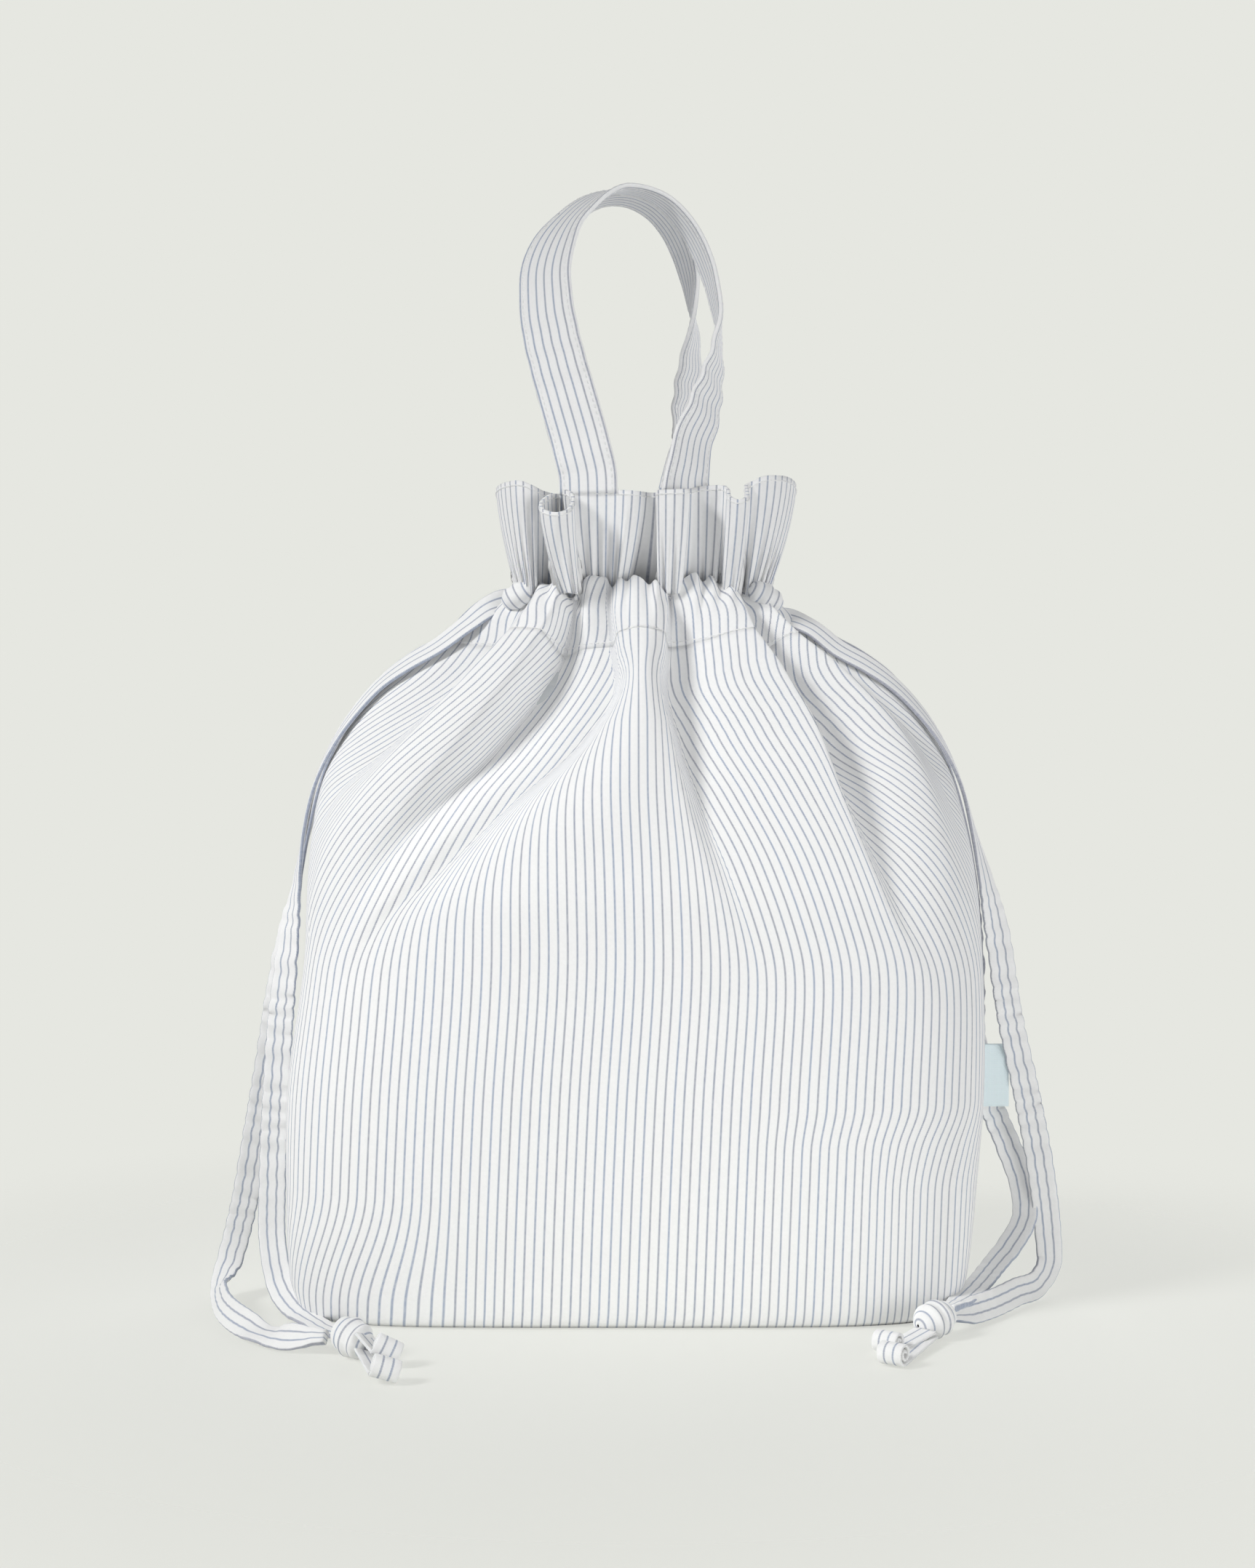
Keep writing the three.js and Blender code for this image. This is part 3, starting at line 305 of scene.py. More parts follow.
RIGHT_INNER_ROUTE = [
    (47.3, 0.9, 255.7, 0, 1, 0), (50, 1.3, 255.7, 0, 1, 0), (56, 2.8, 257, 0, 0.9, 0.4),
    (65, 5, 256.6, 0.2, 0.5, 0.8), (74, 5.2, 252.6, 0.4, 0, 0.9), (86, 5.4, 245.9, 0.5, 0, 0.85),
    (97.5, 5.4, 237.3, 0.65, 0, 0.75), (107, 5.4, 225.1, 0.8, 0, 0.6), (115.5, 5.6, 211.7, 0.87, 0, 0.5),
    (121.9, 6.2, 196, 0.95, 0, 0.3), (126.6, 7.2, 178, 0.97, 0.05, 0.25),
    (130.2, 8.2, 158, 0.99, 0.05, 0.15), (132.4, 9, 138, 0.99, 0.05, 0.05), (133.6, 9.4, 110, 1, 0, 0),
    (134.6, 9.2, 88, 0.8, -0.55, 0.1), (137.6, 8.6, 70, 0.35, -0.93, 0.1),
    (143.6, 7, 55, 0.2, -0.95, 0.1), (148.6, 4.5, 41, -0.3, -0.95, 0), (148.8, 0.5, 28, -0.5, -0.8, 0.3),
    (142.6, -6, 19.5, -0.4, -0.75, 0.5), (134.6, -16, 13.6, -0.3, -0.6, 0.7),
    (126.5, -31, 10, -0.1, -0.3, 0.95), (119, -47, 8.6, 0, 0, 1), (110.2, -64.6, 8.3, 0, 0, 1),
]
# Rolled tails: where the tape comes from, the middle of the roll and the way the roll's axis points
ROLLS = {
    "left_long_tail": ((-92, -104, 3.2), (-82.6, -132, 5.5), (0.9, 0.15, -0.3)),
    "left_short_tail": ((-93, -103, 8.5), (-84.2, -111, 6.6), (0.88, 0.1, -0.45)),
    "right_short_tail": ((100, -80, 4.5), (85.2, -95, 4.7), (0.8, -0.6, 0)),
    "right_long_tail": ((100, -80, 2.6), (85.2, -110, 4.6), (0.8, -0.6, 0)),
}
ROLL_RADIUS = 3.7
ROLL_TURNS = 1.7
ROLL_PITCH = 1.8
ROLL_POINTS = 110
ROLL_LEAD = 16
# Each string: side, its knot's middle and axis, its strands, and where these leave the bag for the knot, in m
STRINGS = (
    ("left", (-97.5, -98.6, 6.6), (0.72, -0.62, -0.3), (LEFT_OUTER_ROUTE, LEFT_INNER_ROUTE),
     (0, -0.030, 0.002), (0, -0.088, 0.002)),
    ("right", (104, -73, 6.6), (-0.78, -0.6, -0.12), (RIGHT_OUTER_ROUTE, RIGHT_INNER_ROUTE),
     (0, -0.015, 0.002), (0, -0.060, 0.002)),
)
KNOT_LENGTH = 8.2
KNOT_RADIUS = 6.4
# Near its knot a strand narrows and thickens by these shares
KNOT_REACH = 16
KNOT_BUNCH = (-0.5, 0.9)
# Ripples of the strands, out of their face and aside, and where they set in
RIPPLE_OUT = 0.35
RIPPLE_ASIDE = 0.22
RIPPLE_RATES = (0.72, 1.1)
RIPPLE_WANDER = (1.5, 0.16)
RIPPLE_START = (130, 180)
RIPPLE_CALM = (90, 130)
RIPPLE_LEFT = 0.3
# Wound lumps: their roundness, their groove's depth and its turns' pitch in stripes, and their grid
WRAP_ROUNDNESS = 0.8
WRAP_GROOVE = 0.055
WRAP_TURN = 1.5
WRAP_END = 0.04
WRAP_ROWS = 72
WRAP_COLUMNS = 97
# Tape bunched where the strings leave the channel: middle, axis, half length and radius
EXIT_WRAPS = {
    "left": ((-45.6, -11.5, 266.4), (0.86, -0.3, 0.42), 6.6, 4.8),
    "right": ((48.6, -11.5, 266.2), (-0.8, -0.3, 0.52), 7.4, 4.6),
}

# Folded tag: from its root in the seam to its fold, half its thickness there, and its height
TAG_ROOT = 128.5
TAG_EDGE = 142.0
TAG_BULGE = 0.7
TAG_HALF = 0.6
TAG_HEIGHTS = (71, 95)
TAG_THICKNESS = 0.35
TAG_ROWS = 25
TAG_COLUMNS = 24
TAG_FOLD = 13

# Weave of the cotton: rates of its twill and of the stripes' ragged edges for each mm, and how far they stray
WEAVE_RATE = 12.0
WEAVE_DEPTH = 0.3
RAGGED_RATE = 9.0
RAGGED_DEPTH = 0.07
EDGE_SHARPNESS = 3.5
# Uneven yarn: its pattern's scale, then the factor and offset of the stripes' wear and of the ground's shade
YARN_SCALE = 0.9
STRIPE_WEAR = (0.6, 0.55)
YARN_SHADE = (0.06, 0.97)
# Foil: how far its creases show, and the factor and offset of its roughness
FOIL_CREASE = 2.0
FOIL_ROUGHNESS = (0.2, 0.25)
# Ribbon: rates of its threads across and along, how far those across show, and the factor and offset of the
# painted shade that darkens it where its ribs are low
RIBBON_RATES = (10.0, 14.0)
RIBBON_THREAD = 0.5
RIBBON_PAINTED_SHADE = (0.25, 0.5)

# Studio, in m: lamps with their kind, power, size, place and aim, and the sky and floor
LAMPS = (
    ("key_lamp", "SPOT", "key", 0.3, (-1.12, -0.74, 1.02), (0, 0, 0.07)),
    ("fill_lamp", "AREA", "fill", 0.9, (1.0, -1.0, 0.22), (0, 0, 0.2)),
    ("back_lamp", "AREA", "back", 1.2, (0.5, 1.5, 0.7), (0, 0, 0.15)),
)
KEY_HALF_ANGLE = 11.8
SKY_TINT = (0.98, 0.995, 1.02, 1)
SKY_TURN = (0.1, -0.4)
FLOOR_DROP = -0.0004
FLOOR_FADE = (0.16, 0.42)
FLOOR_GLOW = 0.7

HALVES = ((-1, "front"), (1, "rear"))


# Curves and meshes


def cubic(share, low, high, low_tangent, high_tangent):
    """A cubic piece between two values, from zero to one of its share, with these slopes at its ends."""
    square, cube = share**2, share**3
    ends = low * (2 * cube - 3 * square + 1) + high * (3 * square - 2 * cube)
    return ends + low_tangent * (cube - 2 * square + share) + high_tangent * (cube - square)


def through(place, stops, values):
    """Monotone cubic through stops and values, row by row.

    Each inner tangent is the harmonic mean of the slopes on its two sides, and zero at a peak or dip, so that
    the curve never passes beyond its stops.
    """
    place, stops, values = (np.atleast_2d(np.asarray(item, float)) for item in (place, stops, values))
    step = np.diff(stops, axis=-1)
    slope = np.diff(values, axis=-1) / step
    before, after = slope[:, :-1], slope[:, 1:]
    total = before + after
    same = before * after > 0
    inner = np.where(same, 2 * before * after / np.where(same, total, 1), 0)
    tangent = np.concatenate([slope[:, :1], inner, slope[:, -1:]], axis=-1)
    count = (place[:, :, None] >= stops[:, None, :]).sum(-1)
    index = np.clip(count - 1, 0, stops.shape[1] - 2)
    span = np.take_along_axis(step, index, -1)
    share = np.clip((place - np.take_along_axis(stops, index, -1)) / span, 0, 1)
    low = np.take_along_axis(values, index, -1)
    high = np.take_along_axis(values, index + 1, -1)
    low_tangent = np.take_along_axis(tangent, index, -1) * span
    high_tangent = np.take_along_axis(tangent, index + 1, -1) * span
    return cubic(share, low, high, low_tangent, high_tangent)


def table(place, stops, values):
    """The same cubic for one table of numbers."""
    return through(place, stops, values)[0]


def spline(stops, count):
    """A smooth curve through the stops: cubic pieces whose tangents are the differences along the chord,
    sampled at even lengths. Any further columns of the stops are carried along."""
    stops = np.asarray(stops, float)
    chord = arc(stops[:, :3], 0)
    tangent = np.gradient(stops, chord, axis=0)
    fine = np.linspace(0, chord[-1], CURVE_STEPS * len(stops))
    for _ in range(2):
        index = np.clip(np.searchsorted(chord, fine, side="right") - 1, 0, len(chord) - 2)
        span = (chord[index + 1] - chord[index])[:, None]
        share = (fine[:, None] - chord[index][:, None]) / span
        slopes = (tangent[index] * span, tangent[index + 1] * span)
        points = cubic(share, stops[index], stops[index + 1], *slopes)
        length = arc(points[:, :3], 0)
        fine = np.interp(np.linspace(0, length[-1], count), length, fine)
    return points


def unit(vectors):
    """Vectors at length one."""
    return vectors / np.maximum(np.linalg.norm(vectors, axis=-1, keepdims=True), 1e-9)


def rise(value, low, high):
    """Zero at the low end to one at the high end, along three squares less two cubes of the share between."""
    share = np.clip((value - low) / (high - low), 0, 1)
    return share**2 * (3 - 2 * share)


def wander(value, height, rate):
    """How far a phase strays: a slow sine of a value."""
    return height * np.sin(rate * value)


def superellipse(angle, power):
    """Cosine and sine of an angle, and a superellipse's reach there: one over the root of the sum of their
    powers."""
    cosine, sine = np.cos(angle), np.sin(angle)
    return cosine, sine, (np.abs(cosine) ** power + np.abs(sine) ** power) ** (-1 / power)


def arc(points, axis):
    """Length along an axis of a grid of points, from zero at its start."""
    step = np.linalg.norm(np.diff(points, axis=axis), axis=-1)
    start = np.zeros_like(np.take(step, [0], axis=axis))
    return np.concatenate([start, np.cumsum(step, axis=axis)], axis=axis)


def join_grid(rows, columns, wrap=False):
    """Quads of a grid, row by row. Columns run right and rows run up, seen from outside."""
    across = columns if wrap else columns - 1
    row, column = np.meshgrid(np.arange(rows - 1), np.arange(across), indexing="ij")
    beside = (column + 1) % columns
    corners = [row * columns + column, row * columns + beside]
    corners += [(row + 1) * columns + beside, (row + 1) * columns + column]
    return np.stack([item.ravel() for item in corners], axis=1)


def add_mesh(name, points, faces, cloth, material, caps=()):
    """A mesh object from points in mm, quads, a cloth coordinate in mm for each point, and end caps."""
    points = np.asarray(points, float).reshape(-1, 3) * MM
    mesh = bpy.data.meshes.new(name)
    mesh.from_pydata(points.tolist(), [], faces.tolist() + [cap.tolist() for cap in caps])
    corner = np.empty(len(mesh.loops), dtype=np.int32)
    mesh.loops.foreach_get("vertex_index", corner)
    layer = mesh.uv_layers.new(name="cloth")
    flat = np.asarray(cloth, float).reshape(-1, 2)[corner]
    layer.data.foreach_set("uv", flat.astype(np.float32).ravel())
    mesh.polygons.foreach_set("use_smooth", np.ones(len(mesh.polygons), dtype=bool))
    mesh.update()
    item = bpy.data.objects.new(name, mesh)
    bpy.context.scene.collection.objects.link(item)
    item.data.materials.append(material)
    return item


def add_surface(name, points, cloth, material, thickness=0.0):
    """An open sheet from a grid of points, made thick towards its inside."""
    rows, columns = points.shape[:2]
    item = add_mesh(name, points, join_grid(rows, columns), cloth, material)
    if thickness:
        solid = item.modifiers.new("thickness", "SOLIDIFY")
        solid.thickness = thickness * MM
        solid.offset = -1
    return item


def add_tube(name, rings, cloth, material):
    """A closed mesh from rings of points, with a cap at each end."""
    rows, columns = rings.shape[:2]
    caps = [np.arange(columns)[::-1], np.arange(columns) + (rows - 1) * columns]
    return add_mesh(name, rings, join_grid(rows, columns, wrap=True), cloth, material, caps)


def band_section(width, thickness, sides=5, inner=6):
    """A flat band's closed section with round edges: points as across and out."""
    half = width / 2 - thickness / 2
    angle = np.linspace(-np.pi / 2, np.pi / 2, sides + 2)
    right = np.stack([half + np.cos(angle) * thickness / 2, np.sin(angle) * thickness / 2], axis=1)
    top = np.stack([np.linspace(half, -half, inner + 2)[1:-1], np.full(inner, thickness / 2)], axis=1)
    return np.concatenate([right, top, -right, -top])


def sweep(route, facing, section):
    """Carry a closed section along a route. Sideways is forward crossed with the facing."""
    forward = unit(np.gradient(route, axis=0))
    sideways = unit(np.cross(forward, facing))
    normal = unit(np.cross(sideways, forward))
    section = np.asarray(section, float)
    if section.ndim == 2:
        section = np.broadcast_to(section, (len(route),) + section.shape)
    grid = route[:, None, :] + section[:, :, :1] * sideways[:, None, :]
    return grid + section[:, :, 1:2] * normal[:, None, :]


def add_band(name, route, facing, section, shift=0.0, bunch=1.0):
    """A swept cotton band with closed ends. Its cloth runs along it, stripes beside its edges.

    Where the bunch differs from one it scales the section's width and thickness along the route, and the
    stripes crowd with it.
    """
    grid = sweep(route, facing, section * bunch)
    size = grid.shape[:2]
    across = np.broadcast_to(section[:, 0] + shift, size)
    along = np.broadcast_to(arc(route, 0)[:, None], size)
    return add_tube(name, grid, np.stack([across, along], axis=-1), finish("cotton"))


def dotted(row, out, pitch):
    """Places at even steps along a row of points, with the way along it and the way out of the cloth."""
    length = arc(row, 0)
    count = int(length[-1] / pitch)
    at = (np.arange(count) + 0.5) * pitch
    place, look = (
        np.stack([np.interp(at, length, item[:, axis]) for axis in range(3)], axis=1) for item in (row, out))
    return place, unit(np.gradient(place, axis=0)), unit(look)


def add_stitches(name, rows, material):
    """One mesh of short round stitches. Each stitch is rings of six points: wide in the middle, closed at its
    ends, along its row and a radius off the cloth."""
    place, along, look = (np.concatenate(items) for items in zip(*rows))
    beside = np.cross(look, along)
    reach = STITCH_LENGTH * np.array(STITCH_PLACES)
    round_by = STITCH_RADIUS * np.array(STITCH_RADII)
    angle = np.linspace(0, 2 * np.pi, STITCH_SIDES, endpoint=False)
    around = beside[:, None, :] * np.cos(angle)[None, :, None]
    around = around + look[:, None, :] * np.sin(angle)[None, :, None]
    points = place[:, None, None, :] + along[:, None, None, :] * reach[None, :, None, None]
    points = points + around[:, None, :, :] * round_by[None, :, None, None]
    quads = join_grid(len(reach), STITCH_SIDES, wrap=True)
    first = len(reach) * STITCH_SIDES * np.arange(len(place))
    faces = (quads[None, :, :] + first[:, None, None]).reshape(-1, 4)
    return add_mesh(name, points, faces, np.zeros((points.size // 3, 2)), material)


# Materials


def set_inputs(tree, item, inputs):
    """Give a node's inputs, by name or number, their numbers, colours or sockets."""
    for name, value in inputs.items():
        if isinstance(value, bpy.types.NodeSocket):
            tree.links.new(value, item.inputs[name])
        else:
            item.inputs[name].default_value = value


def node(tree, kind, inputs=(), **settings):
    """A shader node with its settings and inputs."""
    item = tree.nodes.new(kind)
    for name, value in settings.items():
        setattr(item, name, value)
    set_inputs(tree, item, dict(inputs))
    return item


def math(tree, operation, *values, clamp=False):
    """A math node on sockets or numbers."""
    return node(tree, "ShaderNodeMath", enumerate(values), operation=operation, use_clamp=clamp).outputs[0]


def mix_colour(tree, share, first, second, **settings):
    """A colour between two colours or sockets."""
    inputs = {0: share, 6: first, 7: second}
    return node(tree, "ShaderNodeMix", inputs, data_type="RGBA", **settings).outputs[2]


def mix_shader(tree, share, first, second):
    """A shader between two others."""
    return node(tree, "ShaderNodeMixShader", {0: share, 1: first, 2: second}).outputs[0]


def linear(colour):
    """A screen colour, 0 to 255, as linear red, green, blue and alpha."""
    share = np.asarray(colour, float) / 255
    light = np.where(share <= 0.04045, share / 12.92, ((share + 0.055) / 1.055) ** 2.4)
    return tuple(float(value) for value in light) + (1.0,)


def opaque(colour, factor=1):
    """A colour times a factor, with full alpha."""
    return tuple(factor * value for value in colour) + (1,)


def object_place(tree):
    """Object coordinates."""
    return node(tree, "ShaderNodeTexCoord").outputs["Object"]


def cloth_place(tree):
    """The cloth coordinate, and its two parts: across and along."""
    cloth = node(tree, "ShaderNodeUVMap", uv_map="cloth").outputs[0]
    parts = node(tree, "ShaderNodeSeparateXYZ", {0: cloth}).outputs
    return cloth, parts[0], parts[1]


def waves(tree, value, rate):
    """The sine of a value times a rate."""
    return math(tree, "SINE", math(tree, "MULTIPLY", value, rate))


def relief(tree, shader, height, strength, distance):
    """A fine bump on a shader."""
    bump = node(tree, "ShaderNodeBump", {"Height": height, "Strength": strength, "Distance": distance})
    tree.links.new(bump.outputs[0], shader.inputs["Normal"])


def new_material(name):
    """An empty node material with a principled shader, and its tree and shader."""
    material = bpy.data.materials.new(name)
    material.use_nodes = True
    tree = material.node_tree
    shader = tree.nodes["Principled BSDF"]
    return material, tree, shader


def striped_cotton(settings):
    """Off-white twill with fine woven stripes, on the cloth coordinate in mm.

    A stripe is a thin band at each whole pitch, broken up along its length by the twill, and each stripe has
    its own tint between blue and grey. Threads give a fine bump.
    """
    material, tree, shader = new_material("striped cotton")
    cloth, across, along = cloth_place(tree)
    pitch = settings.stripe_pitch / MM
    count = math(tree, "DIVIDE", across, pitch)
    whole = math(tree, "ROUND", count)
    away = math(tree, "ABSOLUTE", math(tree, "SUBTRACT", count, whole))
    away = math(tree, "MULTIPLY", away, pitch)
    twill = math(tree, "ADD", along, across)
    stray = math(tree, "MULTIPLY", waves(tree, twill, RAGGED_RATE), RAGGED_DEPTH)
    edge = math(tree, "ADD", settings.stripe_width / MM / 2, stray)
    inside = math(tree, "SUBTRACT", edge, away)
    stripe = math(tree, "MULTIPLY_ADD", inside, EDGE_SHARPNESS, 0.5, clamp=True)
    random = node(tree, "ShaderNodeTexWhiteNoise", {"W": whole}, noise_dimensions="1D").outputs["Value"]
    tint = mix_colour(tree, random, opaque(settings.stripe_blue), opaque(settings.stripe_grey))
    inputs = {"Vector": cloth, "Scale": YARN_SCALE, "Detail": 2}
    cover = node(tree, "ShaderNodeTexNoise", inputs, noise_dimensions="2D").outputs[0]
    worn = math(tree, "MULTIPLY_ADD", cover, *STRIPE_WEAR, clamp=True)
    colour = mix_colour(tree, math(tree, "MULTIPLY", stripe, worn), opaque(settings.cotton), tint)
    slub = math(tree, "MULTIPLY_ADD", cover, *YARN_SHADE)
    colour = mix_colour(tree, 1, colour, slub, blend_type="MULTIPLY")
    height = math(tree, "ADD", math(tree, "MULTIPLY", waves(tree, twill, WEAVE_RATE), WEAVE_DEPTH), cover)
    relief(tree, shader, height, strength=0.25, distance=0.0002)
    looks = {"Base Color": colour, "Roughness": 0.92, "Specular IOR Level": 0.2, "Sheen Weight": 0.12}
    set_inputs(tree, shader, looks)
    return material


def plain_cotton(settings):
    """Undyed stitching thread: off-white, between two shades by its fibres."""
    material, tree, shader = new_material("stitching thread")
    fibre = node(tree, "ShaderNodeTexNoise", {"Vector": object_place(tree), "Scale": 1800}).outputs[0]
    colour = mix_colour(tree, fibre, opaque(settings.cotton, factor=0.9), opaque(settings.cotton))
    set_inputs(tree, shader, {"Base Color": colour, "Roughness": 0.85})
    return material


def foil(settings):
    """Crinkled foil: bright, with creases in its bump and a roughness that varies."""
    material, tree, shader = new_material("foil lining")
    place = object_place(tree)
    inputs = {"Vector": place, "Scale": 90}
    crease = node(tree, "ShaderNodeTexVoronoi", inputs, feature="DISTANCE_TO_EDGE").outputs[0]
    cloud = node(tree, "ShaderNodeTexNoise", {"Vector": place, "Scale": 60}).outputs[0]
    height = math(tree, "ADD", math(tree, "MULTIPLY", crease, FOIL_CREASE), cloud)
    relief(tree, shader, height, strength=0.5, distance=0.002)
    colour = mix_colour(tree, cloud, opaque(settings.foil, factor=0.8), opaque(settings.foil))
    rough = math(tree, "MULTIPLY_ADD", cloud, *FOIL_ROUGHNESS)
    set_inputs(tree, shader, {"Base Color": colour, "Roughness": rough, "Metallic": 0.85})
    return material


def foam(settings):
    """Closed-cell foam: warm white with a fine cell pattern."""
    material, tree, shader = new_material("foam")
    cells = node(tree, "ShaderNodeTexVoronoi", {"Vector": object_place(tree), "Scale": 700}).outputs[0]
    relief(tree, shader, cells, strength=0.4, distance=0.0004)
    colour = mix_colour(tree, cells, opaque(settings.foam), opaque(settings.foam, factor=0.86))
    set_inputs(tree, shader, {"Base Color": colour, "Roughness": 0.95})
    return material


def ribbon(settings):
    """Woven ribbon: pale blue, with fine ribs across it, and painted shade that darkens it where the ribs are
    low.
    """
    material, tree, shader = new_material("tag ribbon")
    _, across, along = cloth_place(tree)
    thread = math(tree, "MULTIPLY", waves(tree, across, RIBBON_RATES[0]), RIBBON_THREAD)
    height = math(tree, "ADD", waves(tree, along, RIBBON_RATES[1]), thread)
    relief(tree, shader, height, strength=0.3, distance=0.0002)
    # Painted shade: the colour follows the ribs' height and is darker where the relief is low
    share = math(tree, "MULTIPLY_ADD", height, *RIBBON_PAINTED_SHADE, clamp=True)
    colour = mix_colour(tree, share, opaque(settings.tag, factor=0.92), opaque(settings.tag))
    set_inputs(tree, shader, {"Base Color": colour, "Roughness": 0.75})
    return material


FINISHES = {
    "cotton": striped_cotton,
    "thread": plain_cotton,
    "foil": foil,
    "foam": foam,
    "ribbon": ribbon,
}
MADE = {}


def finish(name):
    """One material for each finish, made when it is first asked for."""
    if name not in MADE:
        MADE[name] = FINISHES[name](bpy.context.scene.bag_finishes)
    return MADE[name]


# Shapes of the pieces


def wall_stops():
    """Half widths, half depths, heights, squareness and sideways shifts along the wall and the drawn channel,
    and the number of rows in the wall."""
    levels = np.linspace(0, SEAM_HEIGHT, WALL_ROWS)
    columns = (WALL_WIDTHS, WALL_DEPTHS, WALL_SQUARENESS, WALL_SHIFTS)
    wall = [table(levels, WALL_HEIGHTS, values) for values in columns]
    width, depth, height = spline(CHANNEL_STOPS, CHANNEL_ROWS)[1:].T
    channel = (width, depth, np.full(len(width), ELLIPSE), np.zeros(len(width)))
    width, depth, square, shift = (np.concatenate(pair) for pair in zip(wall, channel))
    return width, depth, np.concatenate([levels, height]), square, shift, WALL_ROWS


def plain_wall(width, depth, height, square, columns, shift=0.0):
    """Front half of the wall without folds, from the left seam round to the right one.

    At each height it is a superellipse in plan, of that height's squareness.
    """
    cosine, sine, reach = superellipse(np.linspace(0, np.pi, columns)[None, :], square[:, None])
    x = -width[:, None] * reach * cosine + np.broadcast_to(shift, width.shape)[:, None]
    y = -depth[:, None] * reach * sine
    z = np.broadcast_to(height[:, None], x.shape)
    return np.stack([x, y, z], axis=-1)


def outward(points):
    """Outward direction of a grid: along its columns crossed with up its rows."""
    return unit(np.cross(np.gradient(points, axis=1), np.gradient(points, axis=0)))


def hidden_cloth(along, across, places, rank):
    """Length along each row with the cloth added that the folds hide and the creases shove.

    A fold hides cloth in proportion to the height above its start, with a round start. High up it lies in one
    steep smooth step at the fold's line. Lower down it is spread beside the line and dies away with distance.
    """
    for line, start, growth, side, low, high in HIDDEN_CLOTH:
        above = rank - start
        hidden = growth * (above + np.sqrt(above**2 + HIDE_ROUND**2)) / 2
        away = across - places[:, line + 1][:, None]
        step = 0.5 + 0.5 * np.tanh(away / np.interp(rank, *HIDE_NARROWS)[:, None])
        spread = np.interp(above, CROWD_SPAN, [low, high])[:, None]
        crowd = 1 - np.exp(-np.maximum(away * side, 0) / spread)
        crowd = crowd if side > 0 else 1 - crowd
        sharp = np.interp(above, *EDGE_SHARES)[:, None] if side else 1
        along = along + hidden[:, None] * (sharp * step + (1 - sharp) * crowd)
    for shove, beside, inside, top, bottom in SHOVES:
        along = along + shove * rise(across, inside, beside) * rise(rank[:, None], top, bottom)
    return along


def folded_wall():
    """Front half of the drawn cloth, its cloth coordinate and the number of rows below the channel.

    Each row's folds are a cubic through the fold lines' places and heights, set out along the wall's outward
    direction. The cloth coordinate is the length along the row with its hidden cloth, and zero on the middle
    line.
    """
    width, depth, height, square, shift, seam = wall_stops()
    plain = plain_wall(width, depth, height, square, WALL_COLUMNS, shift)
    channel = SEAM_HEIGHT + np.linspace(0, CHANNEL_RISE, len(height) - seam + 1)[1:]
    rank = np.concatenate([height[:seam], channel])
    places = np.stack([table(rank, FOLD_HEIGHTS, line[0]) for line in FOLD_LINES], axis=1)
    stands = np.stack([table(rank, FOLD_HEIGHTS, line[1]) for line in FOLD_LINES], axis=1)
    edge = width[:, None] * SEAM_SHARE
    middle = shift[:, None]
    apart = np.linspace(-FOLD_LIMIT, FOLD_LIMIT, places.shape[1])[None, :] * FOLD_APART
    places = np.clip(places - middle, -edge * FOLD_LIMIT, edge * FOLD_LIMIT) + apart
    places = np.concatenate([-edge, places, edge], axis=1) + middle
    stands = np.concatenate([np.zeros_like(edge), stands, np.zeros_like(edge)], axis=1)
    across = plain[:, :, 0]
    above = rank[:, None]
    tucks = np.array(GATHERS).T
    out, lift = (table(across.ravel(), tucks[0], values).reshape(across.shape) for values in tucks[1:])
    stand = through(across, places, stands) + rise(above, *TUCKS_SET_IN) * out
    stand = stand - SEAM_SINK * np.exp(-(((above - SEAM_HEIGHT + 1) / SEAM_WIDTH) ** 2))
    points = plain + outward(plain) * stand[:, :, None]
    points[:, :, 2] += rise(above, *TUCKS_RISE) * lift
    along = hidden_cloth(arc(points, 1), across, places, rank)
    half = WALL_COLUMNS // 2
    along = along - along[:, half][:, None]
    up = arc(plain[:, half:half + 1], 0)
    return points, np.stack([along, np.broadcast_to(up, along.shape)], axis=-1), seam


def behind(points):
    """The same shape behind the side seams: depth turned round, and its order with it."""
    return points[..., ::-1, :] * np.array([1, -1, 1])


def frill_grid(side):
    """One half of the frill: each column runs from a point of the pleated neck to a point of the top edge,
    flaring as one minus a power of what is left to the top.

    Small tucks stand out at the foot and run out upwards: a sine along the top edge whose phase wanders. The
    rear half is the front one turned round, with its two halves stretched to meet the front at the seams.
    """
    stops = np.array(FRILL_STOPS, float)
    if side > 0:
        left, right = -stops[0, [0, 3]], stops[-1, [0, 3]]
        stops = stops * np.array([-1, -1, 1, -1, -1])
        stops[:, [0, 3]] *= np.where(stops[:, [0, 3]] < 0, left / right, right / left)
    top = spline(stops, FRILL_COLUMNS)
    up = np.linspace(0, 1, FRILL_ROWS)[:, None]
    flare = 1 - (1 - up) ** FRILL_FLARE
    x = top[None, :, 3] + flare * (top[:, 0] - top[:, 3])[None, :]
    y = top[None, :, 4] + flare * (top[:, 1] - top[:, 4])[None, :]
    z = FRILL_FOOT + up * (top[:, 2] - FRILL_FOOT)[None, :]
    points = np.stack([x, y, z], axis=-1)
    along = arc(points[FRILL_ROWS - 1:], 1)
    phase = 2 * np.pi * along / FRILL_TUCK_PITCH
    ends = rise(along, 0, FRILL_ENDS) * rise(along[:, -1:] - along, 0, FRILL_ENDS)
    tuck = FRILL_TUCK * np.sin(phase + wander(phase, *FRILL_WANDER)) * ends
    points[:, :, 1] += side * tuck * (1 - up) ** FRILL_TUCK_FADE
    along = along - along[:, FRILL_COLUMNS // 2]
    cloth = np.stack([np.broadcast_to(along, z.shape), z], axis=-1)
    return points, cloth


